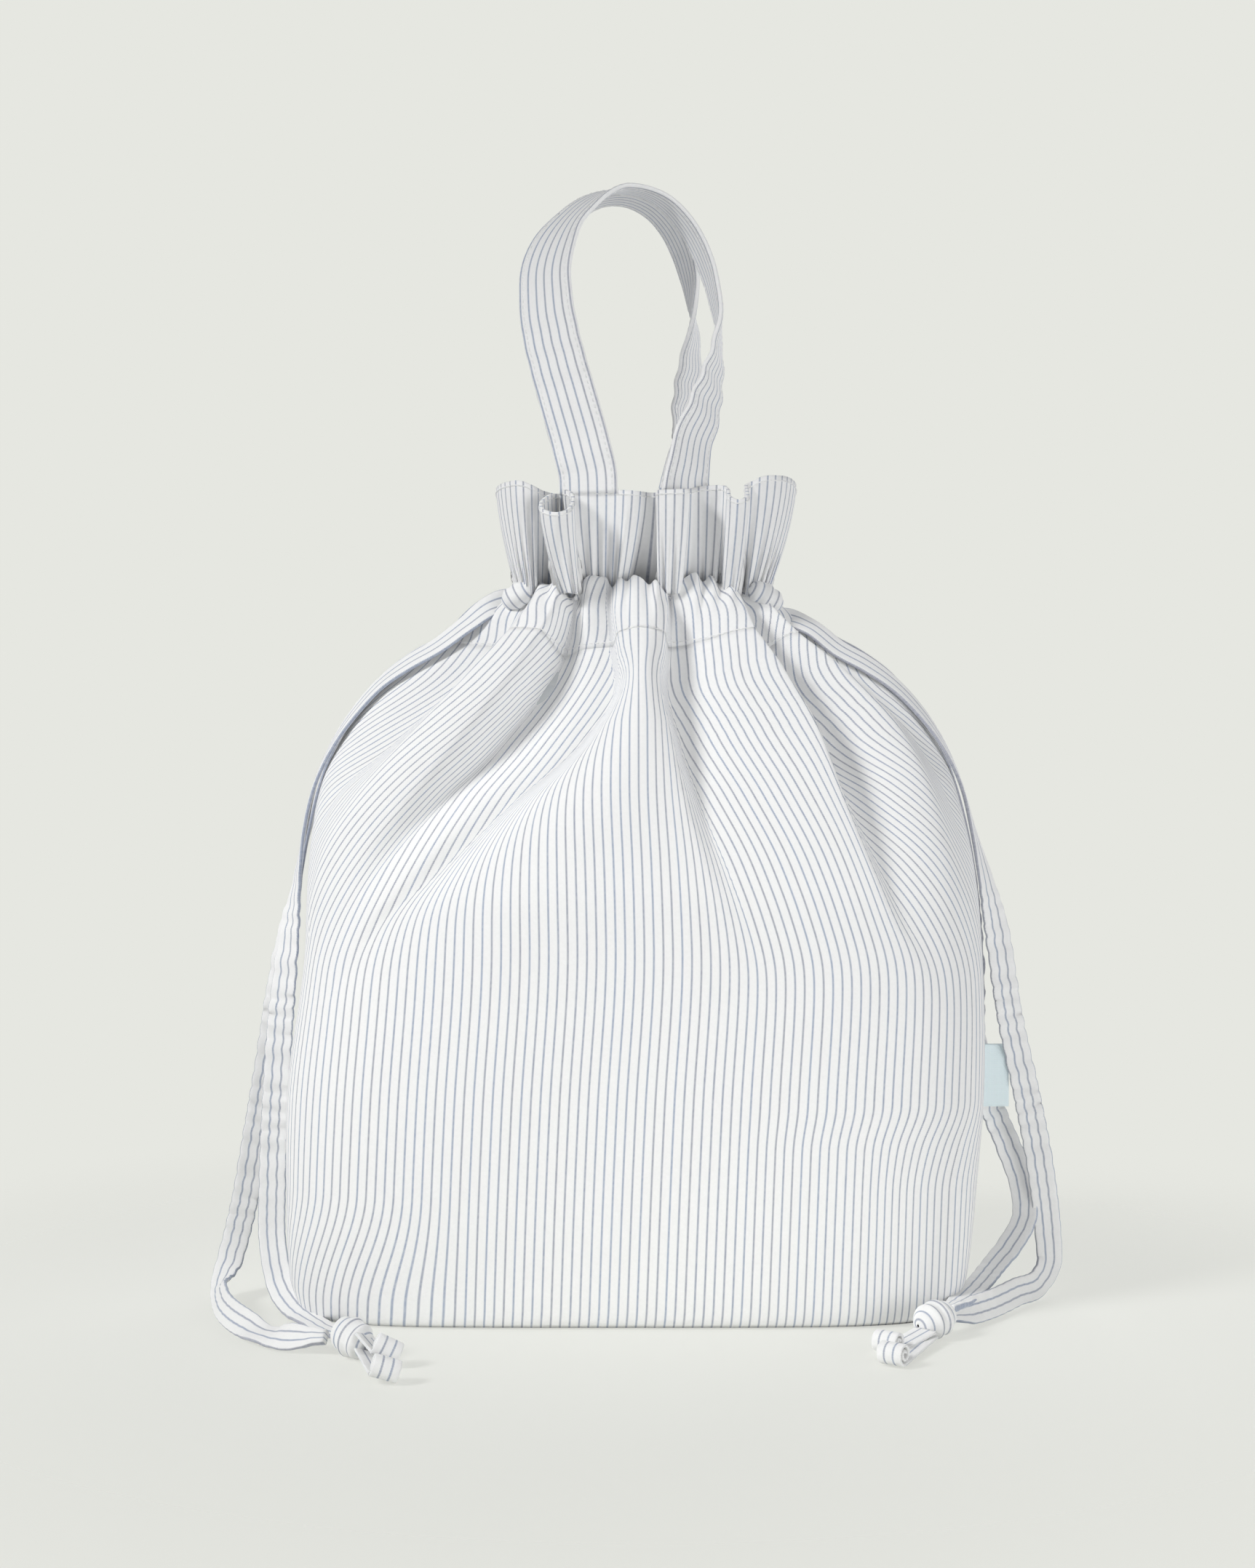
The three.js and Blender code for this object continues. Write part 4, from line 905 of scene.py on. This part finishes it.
def wrapped_grid(middle, axis, half_length, radius):
    """Tape wound round an axis into a closed lump, and its cloth coordinate.

    The radius follows a power of the sine along the axis, and a shallow spiral groove runs through it. The
    stripes run with the wraps, one stripe further at each turn. The seam between the turns lies underneath.
    """
    ahead = unit(np.array(axis, float))
    beside = unit(np.cross(ahead, (0, 0, 1)))
    above = np.cross(beside, ahead)
    lean = np.linspace(WRAP_END, np.pi - WRAP_END, WRAP_ROWS)[:, None]
    turn = np.linspace(0, 2 * np.pi, WRAP_COLUMNS)[None, :]
    pitch = bpy.context.scene.bag_finishes.stripe_pitch / MM
    out = radius * np.sin(lean) ** WRAP_ROUNDNESS
    length = half_length * np.cos(lean)
    meridian = np.concatenate([[0], np.cumsum(np.hypot(np.diff(out[:, 0]), np.diff(length[:, 0])))])[:, None]
    groove = WRAP_GROOVE * np.cos(2 * np.pi * meridian / (WRAP_TURN * pitch) - turn)
    out = out * (1 + groove)
    spin = turn - np.pi / 2
    points = np.array(middle) + length[:, :, None] * ahead
    points = points + (out * np.cos(spin))[:, :, None] * beside + (out * np.sin(spin))[:, :, None] * above
    cloth = np.stack([meridian - pitch * turn / np.pi / 2, radius * turn + 0 * meridian], axis=-1)
    if np.mean(np.sum(outward(points) * (points - np.array(middle)), axis=-1)) < 0:
        points, cloth = points[:, ::-1], cloth[:, ::-1]
    return points, cloth


def roll_route(start, middle, axis):
    """A tape's end rolled up like a scroll, and the way its face looks, which is away from the roll's middle.

    It runs straight from its start to the underside of the roll, then along a spiral whose radius shrinks by
    the roll's pitch at each turn.
    """
    axis = unit(np.array(axis, float))
    above = unit(np.array([0, 0, 1.0]) - axis * axis[2])
    ahead = np.cross(above, axis)
    middle = np.array(middle, float)
    if np.dot(middle - np.array(start), ahead) < 0:
        ahead = -ahead
    angle = np.linspace(0, 2 * np.pi * ROLL_TURNS, ROLL_POINTS)[:, None]
    radius = ROLL_RADIUS - ROLL_PITCH * angle / 2 / np.pi
    look = np.sin(angle) * ahead - np.cos(angle) * above
    spiral = middle + radius * look
    lead = np.linspace(0, 1, ROLL_LEAD, endpoint=False)[:, None]
    straight = np.array(start) + (spiral[0] - np.array(start)) * lead
    look = np.concatenate([np.tile(-above, (ROLL_LEAD, 1)), look])
    return np.concatenate([straight, spiral]), look


def strand_line(route):
    """A free strand's places, the way its face looks, and how its section bunches.

    Away from the slit it ripples out and aside, as sines of the length whose phase wanders, less so near the
    knot. Into the knot it narrows and thickens.
    """
    line = spline(route, STRAND_POINTS)
    place, facing = line[:, :3], line[:, 3:]
    along = arc(place, 0)[:, None]
    look = unit(facing)
    beside = unit(np.cross(np.gradient(place, axis=0), look))
    stray = wander(along, *RIPPLE_WANDER)
    ripple = RIPPLE_OUT * np.sin(RIPPLE_RATES[0] * along + stray) * look
    ripple = ripple + RIPPLE_ASIDE * np.cos(RIPPLE_RATES[1] * along + stray) * beside
    calm = RIPPLE_LEFT + (1 - RIPPLE_LEFT) * rise(along[-1] - along, *RIPPLE_CALM)
    near = rise(along, along[-1] - KNOT_REACH, along[-1])[:, :, None]
    return place + ripple * rise(along, *RIPPLE_START) * calm, facing, 1 + near * np.array(KNOT_BUNCH)


def run_line(height, width, depth):
    """A tape's run in the front half of the channel, half an ellipse in plan, and the way its face looks."""
    angle = np.linspace(RUN_END, np.pi - RUN_END, RUN_POINTS)
    flat = np.zeros(RUN_POINTS)
    plan = np.stack([-width * np.cos(angle), -depth * np.sin(angle), flat + height], axis=1)
    return plan, unit(np.stack([-np.cos(angle) / width, -np.sin(angle) / depth, flat], axis=1))


def strap_route(stops, side):
    """A carrying strap's loop, and the way its outer face looks.

    From the loop's outside the face turns by the given angle towards its own side of the bag. Near its feet
    the strap puckers, as a sine of the length whose phase wanders.
    """
    stops = np.asarray(stops, float)
    line = spline(np.concatenate([stops[:, :3], np.radians(stops[:, 3:])], axis=1), STRAP_POINTS)
    forward = unit(np.gradient(line[:, :3], axis=0))
    outside = unit(np.stack([-forward[:, 2], np.zeros(len(line)), forward[:, 0]], axis=1))
    turn = line[:, 3:]
    facing = outside * np.cos(turn) + np.array([0, side, 0]) * np.sin(turn)
    along = arc(line[:, :3], 0)[:, None]
    left = along[-1] - along
    near = rise(along, *STRAP_PUCKER_REACH) + rise(left, *STRAP_PUCKER_REACH)
    pucker = STRAP_PUCKER * near * rise(along, 0, STRAP_PUCKER_ENDS) * rise(left, 0, STRAP_PUCKER_ENDS)
    wave = np.sin(STRAP_PUCKER_RATE * along + wander(along, *STRAP_WANDER))
    return line[:, :3] + facing * pucker * wave, facing


def strap_stitches(route, facing):
    """Rows of stitches beside both edges of a strap, on both its faces."""
    forward = unit(np.gradient(route, axis=0))
    beside = unit(np.cross(forward, facing))
    normal = unit(np.cross(beside, forward))
    rows = []
    for hand in (-1, 1):
        edge = route + beside * hand * (STRAP_WIDTH / 2 - STITCH_INSET)
        for face in (-1, 1):
            rows.append(dotted(edge + normal * face * STRAP_THICKNESS / 2, normal * face, STITCH_PITCH))
    return rows


def shrunk_wall(heights, inset, columns=121):
    """Front half of the plain wall, moved in by an inset in mm for each height."""
    width = table(heights, WALL_HEIGHTS, WALL_WIDTHS) - inset
    depth = table(heights, WALL_HEIGHTS, WALL_DEPTHS) - inset
    square = table(heights, WALL_HEIGHTS, WALL_SQUARENESS)
    return plain_wall(width, depth, heights, square, columns, table(heights, WALL_HEIGHTS, WALL_SHIFTS))


def plain_cloth(points):
    """Cloth coordinate of a smooth grid: lengths along its rows and up its columns."""
    return np.stack([arc(points, 1), arc(points, 0)], axis=-1)


def disc(width, depth, low, high, columns=160, rings=24):
    """A closed flat pad: rings of a superellipse from the middle of its underside, out over a round edge and
    back to the middle of its top."""
    angle = np.linspace(0, 2 * np.pi, columns, endpoint=False)
    cosine, sine, reach = superellipse(angle, BASE_SQUARENESS)
    half = (high - low) / 2
    flat = np.linspace(BASE_MIDDLE, 1, rings)
    bend = np.linspace(np.pi / 2, -np.pi / 2, BASE_EDGE + 2)[1:-1]
    share = np.concatenate([flat, np.ones(BASE_EDGE), flat[::-1]])
    out = np.concatenate([np.full(rings, -half), -half + half * np.cos(bend), np.full(rings, -half)])
    lift = np.concatenate([np.full(rings, half), half * np.sin(bend), np.full(rings, -half)])
    x = (share * width + share * out)[:, None] * (reach * cosine)[None, :] + WALL_SHIFTS[0]
    y = (share * depth + share * out)[:, None] * (reach * sine)[None, :]
    z = np.broadcast_to((lift + (low + high) / 2)[:, None], x.shape)
    return np.stack([x, y, z], axis=-1)[::-1]


def tag_grid():
    """The tag's ribbon: out from the seam along its front, round half an ellipse, and back."""
    angle = np.linspace(-np.pi / 2, np.pi / 2, TAG_FOLD)
    front = np.stack([np.linspace(TAG_ROOT, TAG_EDGE, TAG_COLUMNS), np.full(TAG_COLUMNS, -TAG_HALF)], axis=1)
    fold = np.stack([TAG_EDGE + TAG_BULGE * np.cos(angle), TAG_HALF * np.sin(angle)], axis=1)[1:-1]
    plan = np.concatenate([front, fold, front[::-1] * np.array([1, -1])])
    points = np.zeros((TAG_ROWS, len(plan), 3))
    points[:, :, :2] = plan
    points[:, :, 2] = np.linspace(*TAG_HEIGHTS, TAG_ROWS)[:, None]
    along = np.broadcast_to(arc(points[:1], 1), points.shape[:2])
    return points, np.stack([along, points[:, :, 2]], axis=-1)


# Hiding the frame's parts and baking the pieces' transforms


def dress(cad_node):
    """Hide the frame's part that the piece takes the place of."""
    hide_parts(cad_node)


def bend_wall(item):
    """Bake the piece's transform into its mesh."""
    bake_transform(item)


def bend_neck(item):
    """Bake the piece's transform into its mesh."""
    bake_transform(item)


def bend_strap(item):
    """Bake the piece's transform into its mesh."""
    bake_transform(item)


# Studio


def seen_directly(tree):
    """One for what the camera sees, also in gloss or through glass, and zero for light on the object."""
    rays = node(tree, "ShaderNodeLightPath").outputs
    seen = math(tree, "ADD", rays["Is Camera Ray"], rays["Is Glossy Ray"])
    return math(tree, "ADD", seen, rays["Is Transmission Ray"], clamp=True)


def smooth_range(tree, value, start, stop, low=0, high=1):
    """A smooth step from the low number, where the value is at its start, to the high one at its stop."""
    inputs = {"Value": value, "From Min": start, "From Max": stop, "To Min": low, "To Max": high}
    return node(tree, "ShaderNodeMapRange", inputs, interpolation_type="SMOOTHSTEP").outputs[0]


def studio_world(studio):
    """A world that looks like the background, and lights the object evenly and a little more from below."""
    world = bpy.data.worlds.new("studio")
    world.use_nodes = True
    tree = world.node_tree
    tree.nodes.clear()
    way = node(tree, "ShaderNodeTexCoord").outputs["Generated"]
    up = node(tree, "ShaderNodeSeparateXYZ", {0: way}).outputs[2]
    strength = smooth_range(tree, up, *SKY_TURN, studio.sky, studio.sky + studio.bounce)
    light = node(tree, "ShaderNodeBackground", {"Color": SKY_TINT, "Strength": strength}).outputs[0]
    back = node(tree, "ShaderNodeBackground", {"Color": opaque(studio.background)}).outputs[0]
    node(tree, "ShaderNodeOutputWorld", {0: mix_shader(tree, seen_directly(tree), light, back)})
    return world


def floor_finish(studio):
    """A pale floor that keeps the shadow. Seen directly it glows in part like the background, and it fades
    out away from the object."""
    material, tree, shader = new_material("studio floor")
    tree.nodes.remove(shader)
    far = node(tree, "ShaderNodeVectorMath", {0: object_place(tree)}, operation="LENGTH").outputs["Value"]
    surface = node(tree, "ShaderNodeBsdfDiffuse", {"Color": opaque(studio.floor)}).outputs[0]
    glow = node(tree, "ShaderNodeEmission", {"Color": opaque(studio.background)}).outputs[0]
    lit = mix_shader(tree, math(tree, "MULTIPLY", seen_directly(tree), FLOOR_GLOW), surface, glow)
    clear = node(tree, "ShaderNodeBsdfTransparent").outputs[0]
    whole = mix_shader(tree, smooth_range(tree, far, *FLOOR_FADE), lit, clear)
    tree.links.new(whole, tree.nodes["Material Output"].inputs[0])
    return material


def add_lamp(name, kind, power, size, place, aim):
    """A lamp at its place, turned so that it looks at its aim."""
    data = bpy.data.lights.new(name, kind)
    data.energy = power
    if kind == "SPOT":
        data.shadow_soft_size = size
        data.spot_size = 2 * np.radians(KEY_HALF_ANGLE)
        data.spot_blend = 1
    else:
        data.size = size
    lamp = bpy.data.objects.new(name, data)
    lamp.location = place
    ahead = np.array(aim) - np.array(place)
    level = np.hypot(ahead[0], ahead[1])
    lamp.rotation_euler = (np.arctan2(level, -ahead[2]), 0, np.arctan2(-ahead[0], ahead[1]))
    bpy.context.scene.collection.objects.link(lamp)


# Settings and tools


def colour_property(name, description, colour):
    """A colour that a user can change. Its default is a screen colour."""
    return FloatVectorProperty(
        name=name, description=description, subtype="COLOR", size=3, default=linear(colour)[:3], min=0, max=1)


def number_property(name, description, default, unit="NONE"):
    """A number that a user can change."""
    return FloatProperty(name=name, description=description, default=default, min=0, unit=unit)


class BagFinishes(PropertyGroup):
    """Colours and stripe sizes of the bag."""

    cotton: colour_property("Cotton", "Off-white ground of the cloth", (246, 246, 245))
    stripe_blue: colour_property("Blue stripe", "Bluer end of the stripes' tint", (158, 169, 191))
    stripe_grey: colour_property("Grey stripe", "Greyer end of the stripes' tint", (161, 163, 175))
    stripe_pitch: number_property("Stripe pitch", "From one stripe to the next", 0.0034, "LENGTH")
    stripe_width: number_property("Stripe width", "Width of a stripe", 0.00066, "LENGTH")
    foil: colour_property("Foil", "Foil of the lining", (205, 208, 212))
    foam: colour_property("Foam", "Foam of the padding", (240, 238, 228))
    tag: colour_property("Tag", "Ribbon of the side tag", (238, 252, 255))


class BagStudio(PropertyGroup):
    """Background and light of the studio."""

    background: colour_property("Background", "Pale background", (230, 231, 225))
    floor: colour_property("Floor", "A little lighter, so that it shows like the background", (248, 249, 244))
    key: number_property("Key light", "Soft lamp at the upper left", 130, "POWER")
    fill: number_property("Fill light", "Soft lamp at the right", 8, "POWER")
    back: number_property("Back light", "Soft lamp behind, for the rear", 14, "POWER")
    bounce: number_property("Bounce", "More light from below, as from a wide pale floor", 0.28)
    sky: number_property("Sky", "Even light from all round", 0.25)


class BAG_OT_camera(Operator):
    """Set the camera where the photo was taken from."""

    bl_idname = "bag.camera"
    bl_label = "Camera"

    def execute(self, context):
        data = bpy.data.cameras.new("camera")
        data.lens = LENS
        data.sensor_width = SENSOR
        camera = bpy.data.objects.new("camera", data)
        camera.location = EYE
        camera.rotation_euler = (np.pi / 2, 0, 0)
        context.scene.collection.objects.link(camera)
        context.scene.camera = camera
        return {"FINISHED"}


class BAG_OT_strings(Operator):
    """Make the drawstrings' strands, knots and tails along their routes."""

    bl_idname = "bag.strings"
    bl_label = "Drawstrings"

    def execute(self, context):
        cotton = finish("cotton")
        for side, middle, axis, strands, start, end in STRINGS:
            body = side + "_string"
            lump = wrapped_grid(middle, axis, KNOT_LENGTH, KNOT_RADIUS)
            knot = add_surface(side + "_knot_wraps", *lump, cotton)
            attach(knot, body)
            dress(side + "_knot")
            for name in ("long_tail", "short_tail"):
                route, look = roll_route(*ROLLS[f"{side}_{name}"])
                tail = add_band(f"{side}_{name}_roll", route, look, band_section(*TAIL_SECTION), TAPE_SHIFT)
                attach(tail, body)
                dress(f"{side}_{name}")
            wraps = add_surface(side + "_exit_wraps", *wrapped_grid(*EXIT_WRAPS[side]), cotton)
            bend_neck(wraps)
            for name, route in zip(("outer", "inner"), strands):
                place, look, bunch = strand_line(route)
                section = band_section(*STRAND_SECTION)
                strand = add_band(f"{side}_{name}_tape", place, look, section, TAPE_SHIFT, bunch)
                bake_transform(strand)
                dress(f"{side}_{name}_strand")
        return {"FINISHED"}


class BAG_OT_body(Operator):
    """Make the front and rear walls and their channels."""

    bl_idname = "bag.body"
    bl_label = "Body cloth"

    def execute(self, context):
        cotton = finish("cotton")
        points, cloth, seam = folded_wall()
        for side, name in HALVES:
            place, flat = (points, cloth) if side < 0 else (behind(points), cloth[:, ::-1])
            wall = add_surface(name + "_wall_cloth", place[:seam], flat[:seam], cotton, CLOTH_THICKNESS)
            bend_wall(wall)
            dress(name + "_outer_panel")
            drawn = place[seam - 1:]
            neck = add_surface(name + "_channel_cloth", drawn, flat[seam - 1:], cotton, CLOTH_THICKNESS)
            bend_neck(neck)
            dress(name + "_channel")
            row = dotted(drawn[1], outward(drawn)[1], STITCH_PITCH)
            stitches = add_stitches(name + "_channel_stitches", [row], finish("thread"))
            bend_neck(stitches)
        return {"FINISHED"}


class BAG_OT_base(Operator):
    """Make the outer base, its foam and its lining."""

    bl_idname = "bag.base"
    bl_label = "Base"

    def execute(self, context):
        for name, cad_node, width, depth, low, high, material, slot in BASE_LAYERS:
            points = disc(width, depth, low, high)
            item = add_tube(name, points, points[:, :, :2], finish(material))
            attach(item, "bag")
            dress(cad_node)
        return {"FINISHED"}


class BAG_OT_inside(Operator):
    """Make the foam and the foil lining of the front and rear walls."""

    bl_idname = "bag.inside"
    bl_label = "Foam and lining"

    def execute(self, context):
        pad = shrunk_wall(np.linspace(*FOAM_HEIGHTS, FOAM_ROWS), np.full(FOAM_ROWS, FOAM_INSET))
        levels = np.linspace(*LINING_HEIGHTS, LINING_ROWS)
        skin = shrunk_wall(levels, table(levels, *LINING_INSETS))
        for side, name in HALVES:
            turn = behind if side > 0 else np.array
            padding = add_surface(
                name + "_foam_pad", turn(pad), plain_cloth(pad), finish("foam"), FOAM_THICKNESS)
            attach(padding, "bag")
            dress(name + "_insulation")
            lining = add_surface(
                name + "_foil_lining", turn(skin), plain_cloth(skin), finish("foil"), LINING_THICKNESS)
            bend_wall(lining)
            dress(name + "_lining")
        return {"FINISHED"}


class BAG_OT_channel(Operator):
    """Make the facings behind the tapes and the tapes' runs inside the channel."""

    bl_idname = "bag.channel"
    bl_label = "Channel inside"

    def execute(self, context):
        stops = spline(FACING_STOPS, FACING_ROWS).T
        ring = plain_wall(*stops, np.full(FACING_ROWS, ELLIPSE), FACING_COLUMNS)
        pleat = FACING_PLEAT * np.sin(np.linspace(0, 2 * np.pi * FACING_PLEATS, FACING_COLUMNS))
        ring = ring + outward(ring) * pleat[None, :, None]
        for side, name in HALVES:
            turn = behind if side > 0 else np.array
            facing = add_surface(
                name + "_facing_cloth", turn(ring), plain_cloth(ring), finish("cotton"), FACING_THICKNESS)
            bend_neck(facing)
            dress(name + "_channel_facing")
            for string, height, width, depth in RUN_PLANS:
                plan, look = map(turn, run_line(height, width, depth))
                section = band_section(*RUN_SECTION)
                run = add_band(f"{string}_{name}_run_tape", plan, look, section, TAPE_SHIFT)
                bend_neck(run)
                dress(f"{string}_string_{name}_run")
        return {"FINISHED"}


class BAG_OT_frill(Operator):
    """Make the front and rear frills."""

    bl_idname = "bag.frill"
    bl_label = "Frill"

    def execute(self, context):
        for side, name in HALVES:
            place, flat = frill_grid(side)
            frill = add_surface(name + "_frill_cloth", place, flat, finish("cotton"), FRILL_HEM)
            bend_neck(frill)
            dress(name + "_frill")
            hem, out = place[-2], outward(place)[-2]
            rows = [dotted(hem + out * STITCH_LIFT, out, FRILL_STITCH_PITCH)]
            rows.append(dotted(hem - out * (FRILL_HEM + STITCH_LIFT), -out, FRILL_STITCH_PITCH))
            stitches = add_stitches(name + "_hem_stitches", rows, finish("thread"))
            bend_neck(stitches)
        return {"FINISHED"}


class BAG_OT_straps(Operator):
    """Make the two carrying straps and their sewn ends."""

    bl_idname = "bag.straps"
    bl_label = "Carrying straps"

    def execute(self, context):
        section = band_section(STRAP_WIDTH, STRAP_THICKNESS)
        for (side, name), stops in zip(HALVES, (FRONT_STRAP_STOPS, REAR_STRAP_STOPS)):
            route, facing = strap_route(stops, side)
            strap = add_band(name + "_strap_cloth", route, facing, section)
            bend_strap(strap)
            dress(name + "_handle_strap")
            stitches = add_stitches(name + "_strap_stitches", strap_stitches(route, facing), finish("thread"))
            bend_strap(stitches)
            for hand, x in STRAP_ENDS:
                line = spline([(x, y, z) for y, z in STRAP_END_STOPS], STRAP_END_POINTS)
                look = np.tile(STRAP_END_FACE, (STRAP_END_POINTS, 1))
                if side > 0:
                    line, look = behind(line), behind(look)
                end = add_band(f"{name}_{hand}_strap_tuck", line, look, section)
                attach(end, name + "_mouth")
                dress(f"{name}_{hand}_strap_end")
        return {"FINISHED"}


class BAG_OT_tag(Operator):
    """Make the folded ribbon tag in the right seam."""

    bl_idname = "bag.tag"
    bl_label = "Side tag"

    def execute(self, context):
        tag = add_surface("side_tag_ribbon", *tag_grid(), finish("ribbon"), TAG_THICKNESS)
        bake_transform(tag)
        dress("side_tag")
        return {"FINISHED"}


class BAG_OT_stage(Operator):
    """Set the floor, the background and the lamps."""

    bl_idname = "bag.stage"
    bl_label = "Studio"

    def execute(self, context):
        studio = context.scene.bag_studio
        context.scene.world = studio_world(studio)
        mesh = bpy.data.meshes.new("studio_floor")
        corners = [(x, y, FLOOR_DROP) for x, y in ((-1, -1), (1, -1), (1, 1), (-1, 1))]
        mesh.from_pydata(corners, [], [(0, 1, 2, 3)])
        floor = bpy.data.objects.new("studio_floor", mesh)
        floor.data.materials.append(floor_finish(studio))
        context.scene.collection.objects.link(floor)
        for name, kind, power, size, place, aim in LAMPS:
            add_lamp(name, kind, getattr(studio, power), size, place, aim)
        return {"FINISHED"}


class BAG_PT_panel(Panel):
    """Sizes, colours and makers of the bag's pieces."""

    bl_idname = "BAG_PT_panel"
    bl_label = "Cooler bag"
    bl_space_type = "VIEW_3D"
    bl_region_type = "UI"
    bl_category = "Cooler bag"

    def draw(self, context):
        for group in (context.scene.bag_finishes, context.scene.bag_studio):
            for name in group.bl_rna.properties.keys():
                if name not in ("rna_type", "name"):
                    self.layout.prop(group, name)
        for operator in OPERATORS:
            self.layout.operator(operator.bl_idname)


OPERATORS = (
    BAG_OT_camera,
    BAG_OT_strings,
    BAG_OT_body,
    BAG_OT_base,
    BAG_OT_inside,
    BAG_OT_channel,
    BAG_OT_frill,
    BAG_OT_straps,
    BAG_OT_tag,
    BAG_OT_stage,
)
GROUPS = (BagFinishes, BagStudio)


def register():
    """Give Blender the settings, the tools and the panel."""
    for item in GROUPS + OPERATORS + (BAG_PT_panel,):
        bpy.utils.register_class(item)
    bpy.types.Scene.bag_finishes = PointerProperty(type=BagFinishes)
    bpy.types.Scene.bag_studio = PointerProperty(type=BagStudio)


def unregister():
    """Take them away again."""
    del bpy.types.Scene.bag_studio
    del bpy.types.Scene.bag_finishes
    for item in reversed(GROUPS + OPERATORS + (BAG_PT_panel,)):
        bpy.utils.unregister_class(item)


def main():
    """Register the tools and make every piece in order."""
    register()
    bpy.context.scene.view_settings.view_transform = "Standard"
    for operator in OPERATORS:
        family, name = operator.bl_idname.split(".")
        getattr(getattr(bpy.ops, family), name)()


if __name__ == "__main__":
    main()
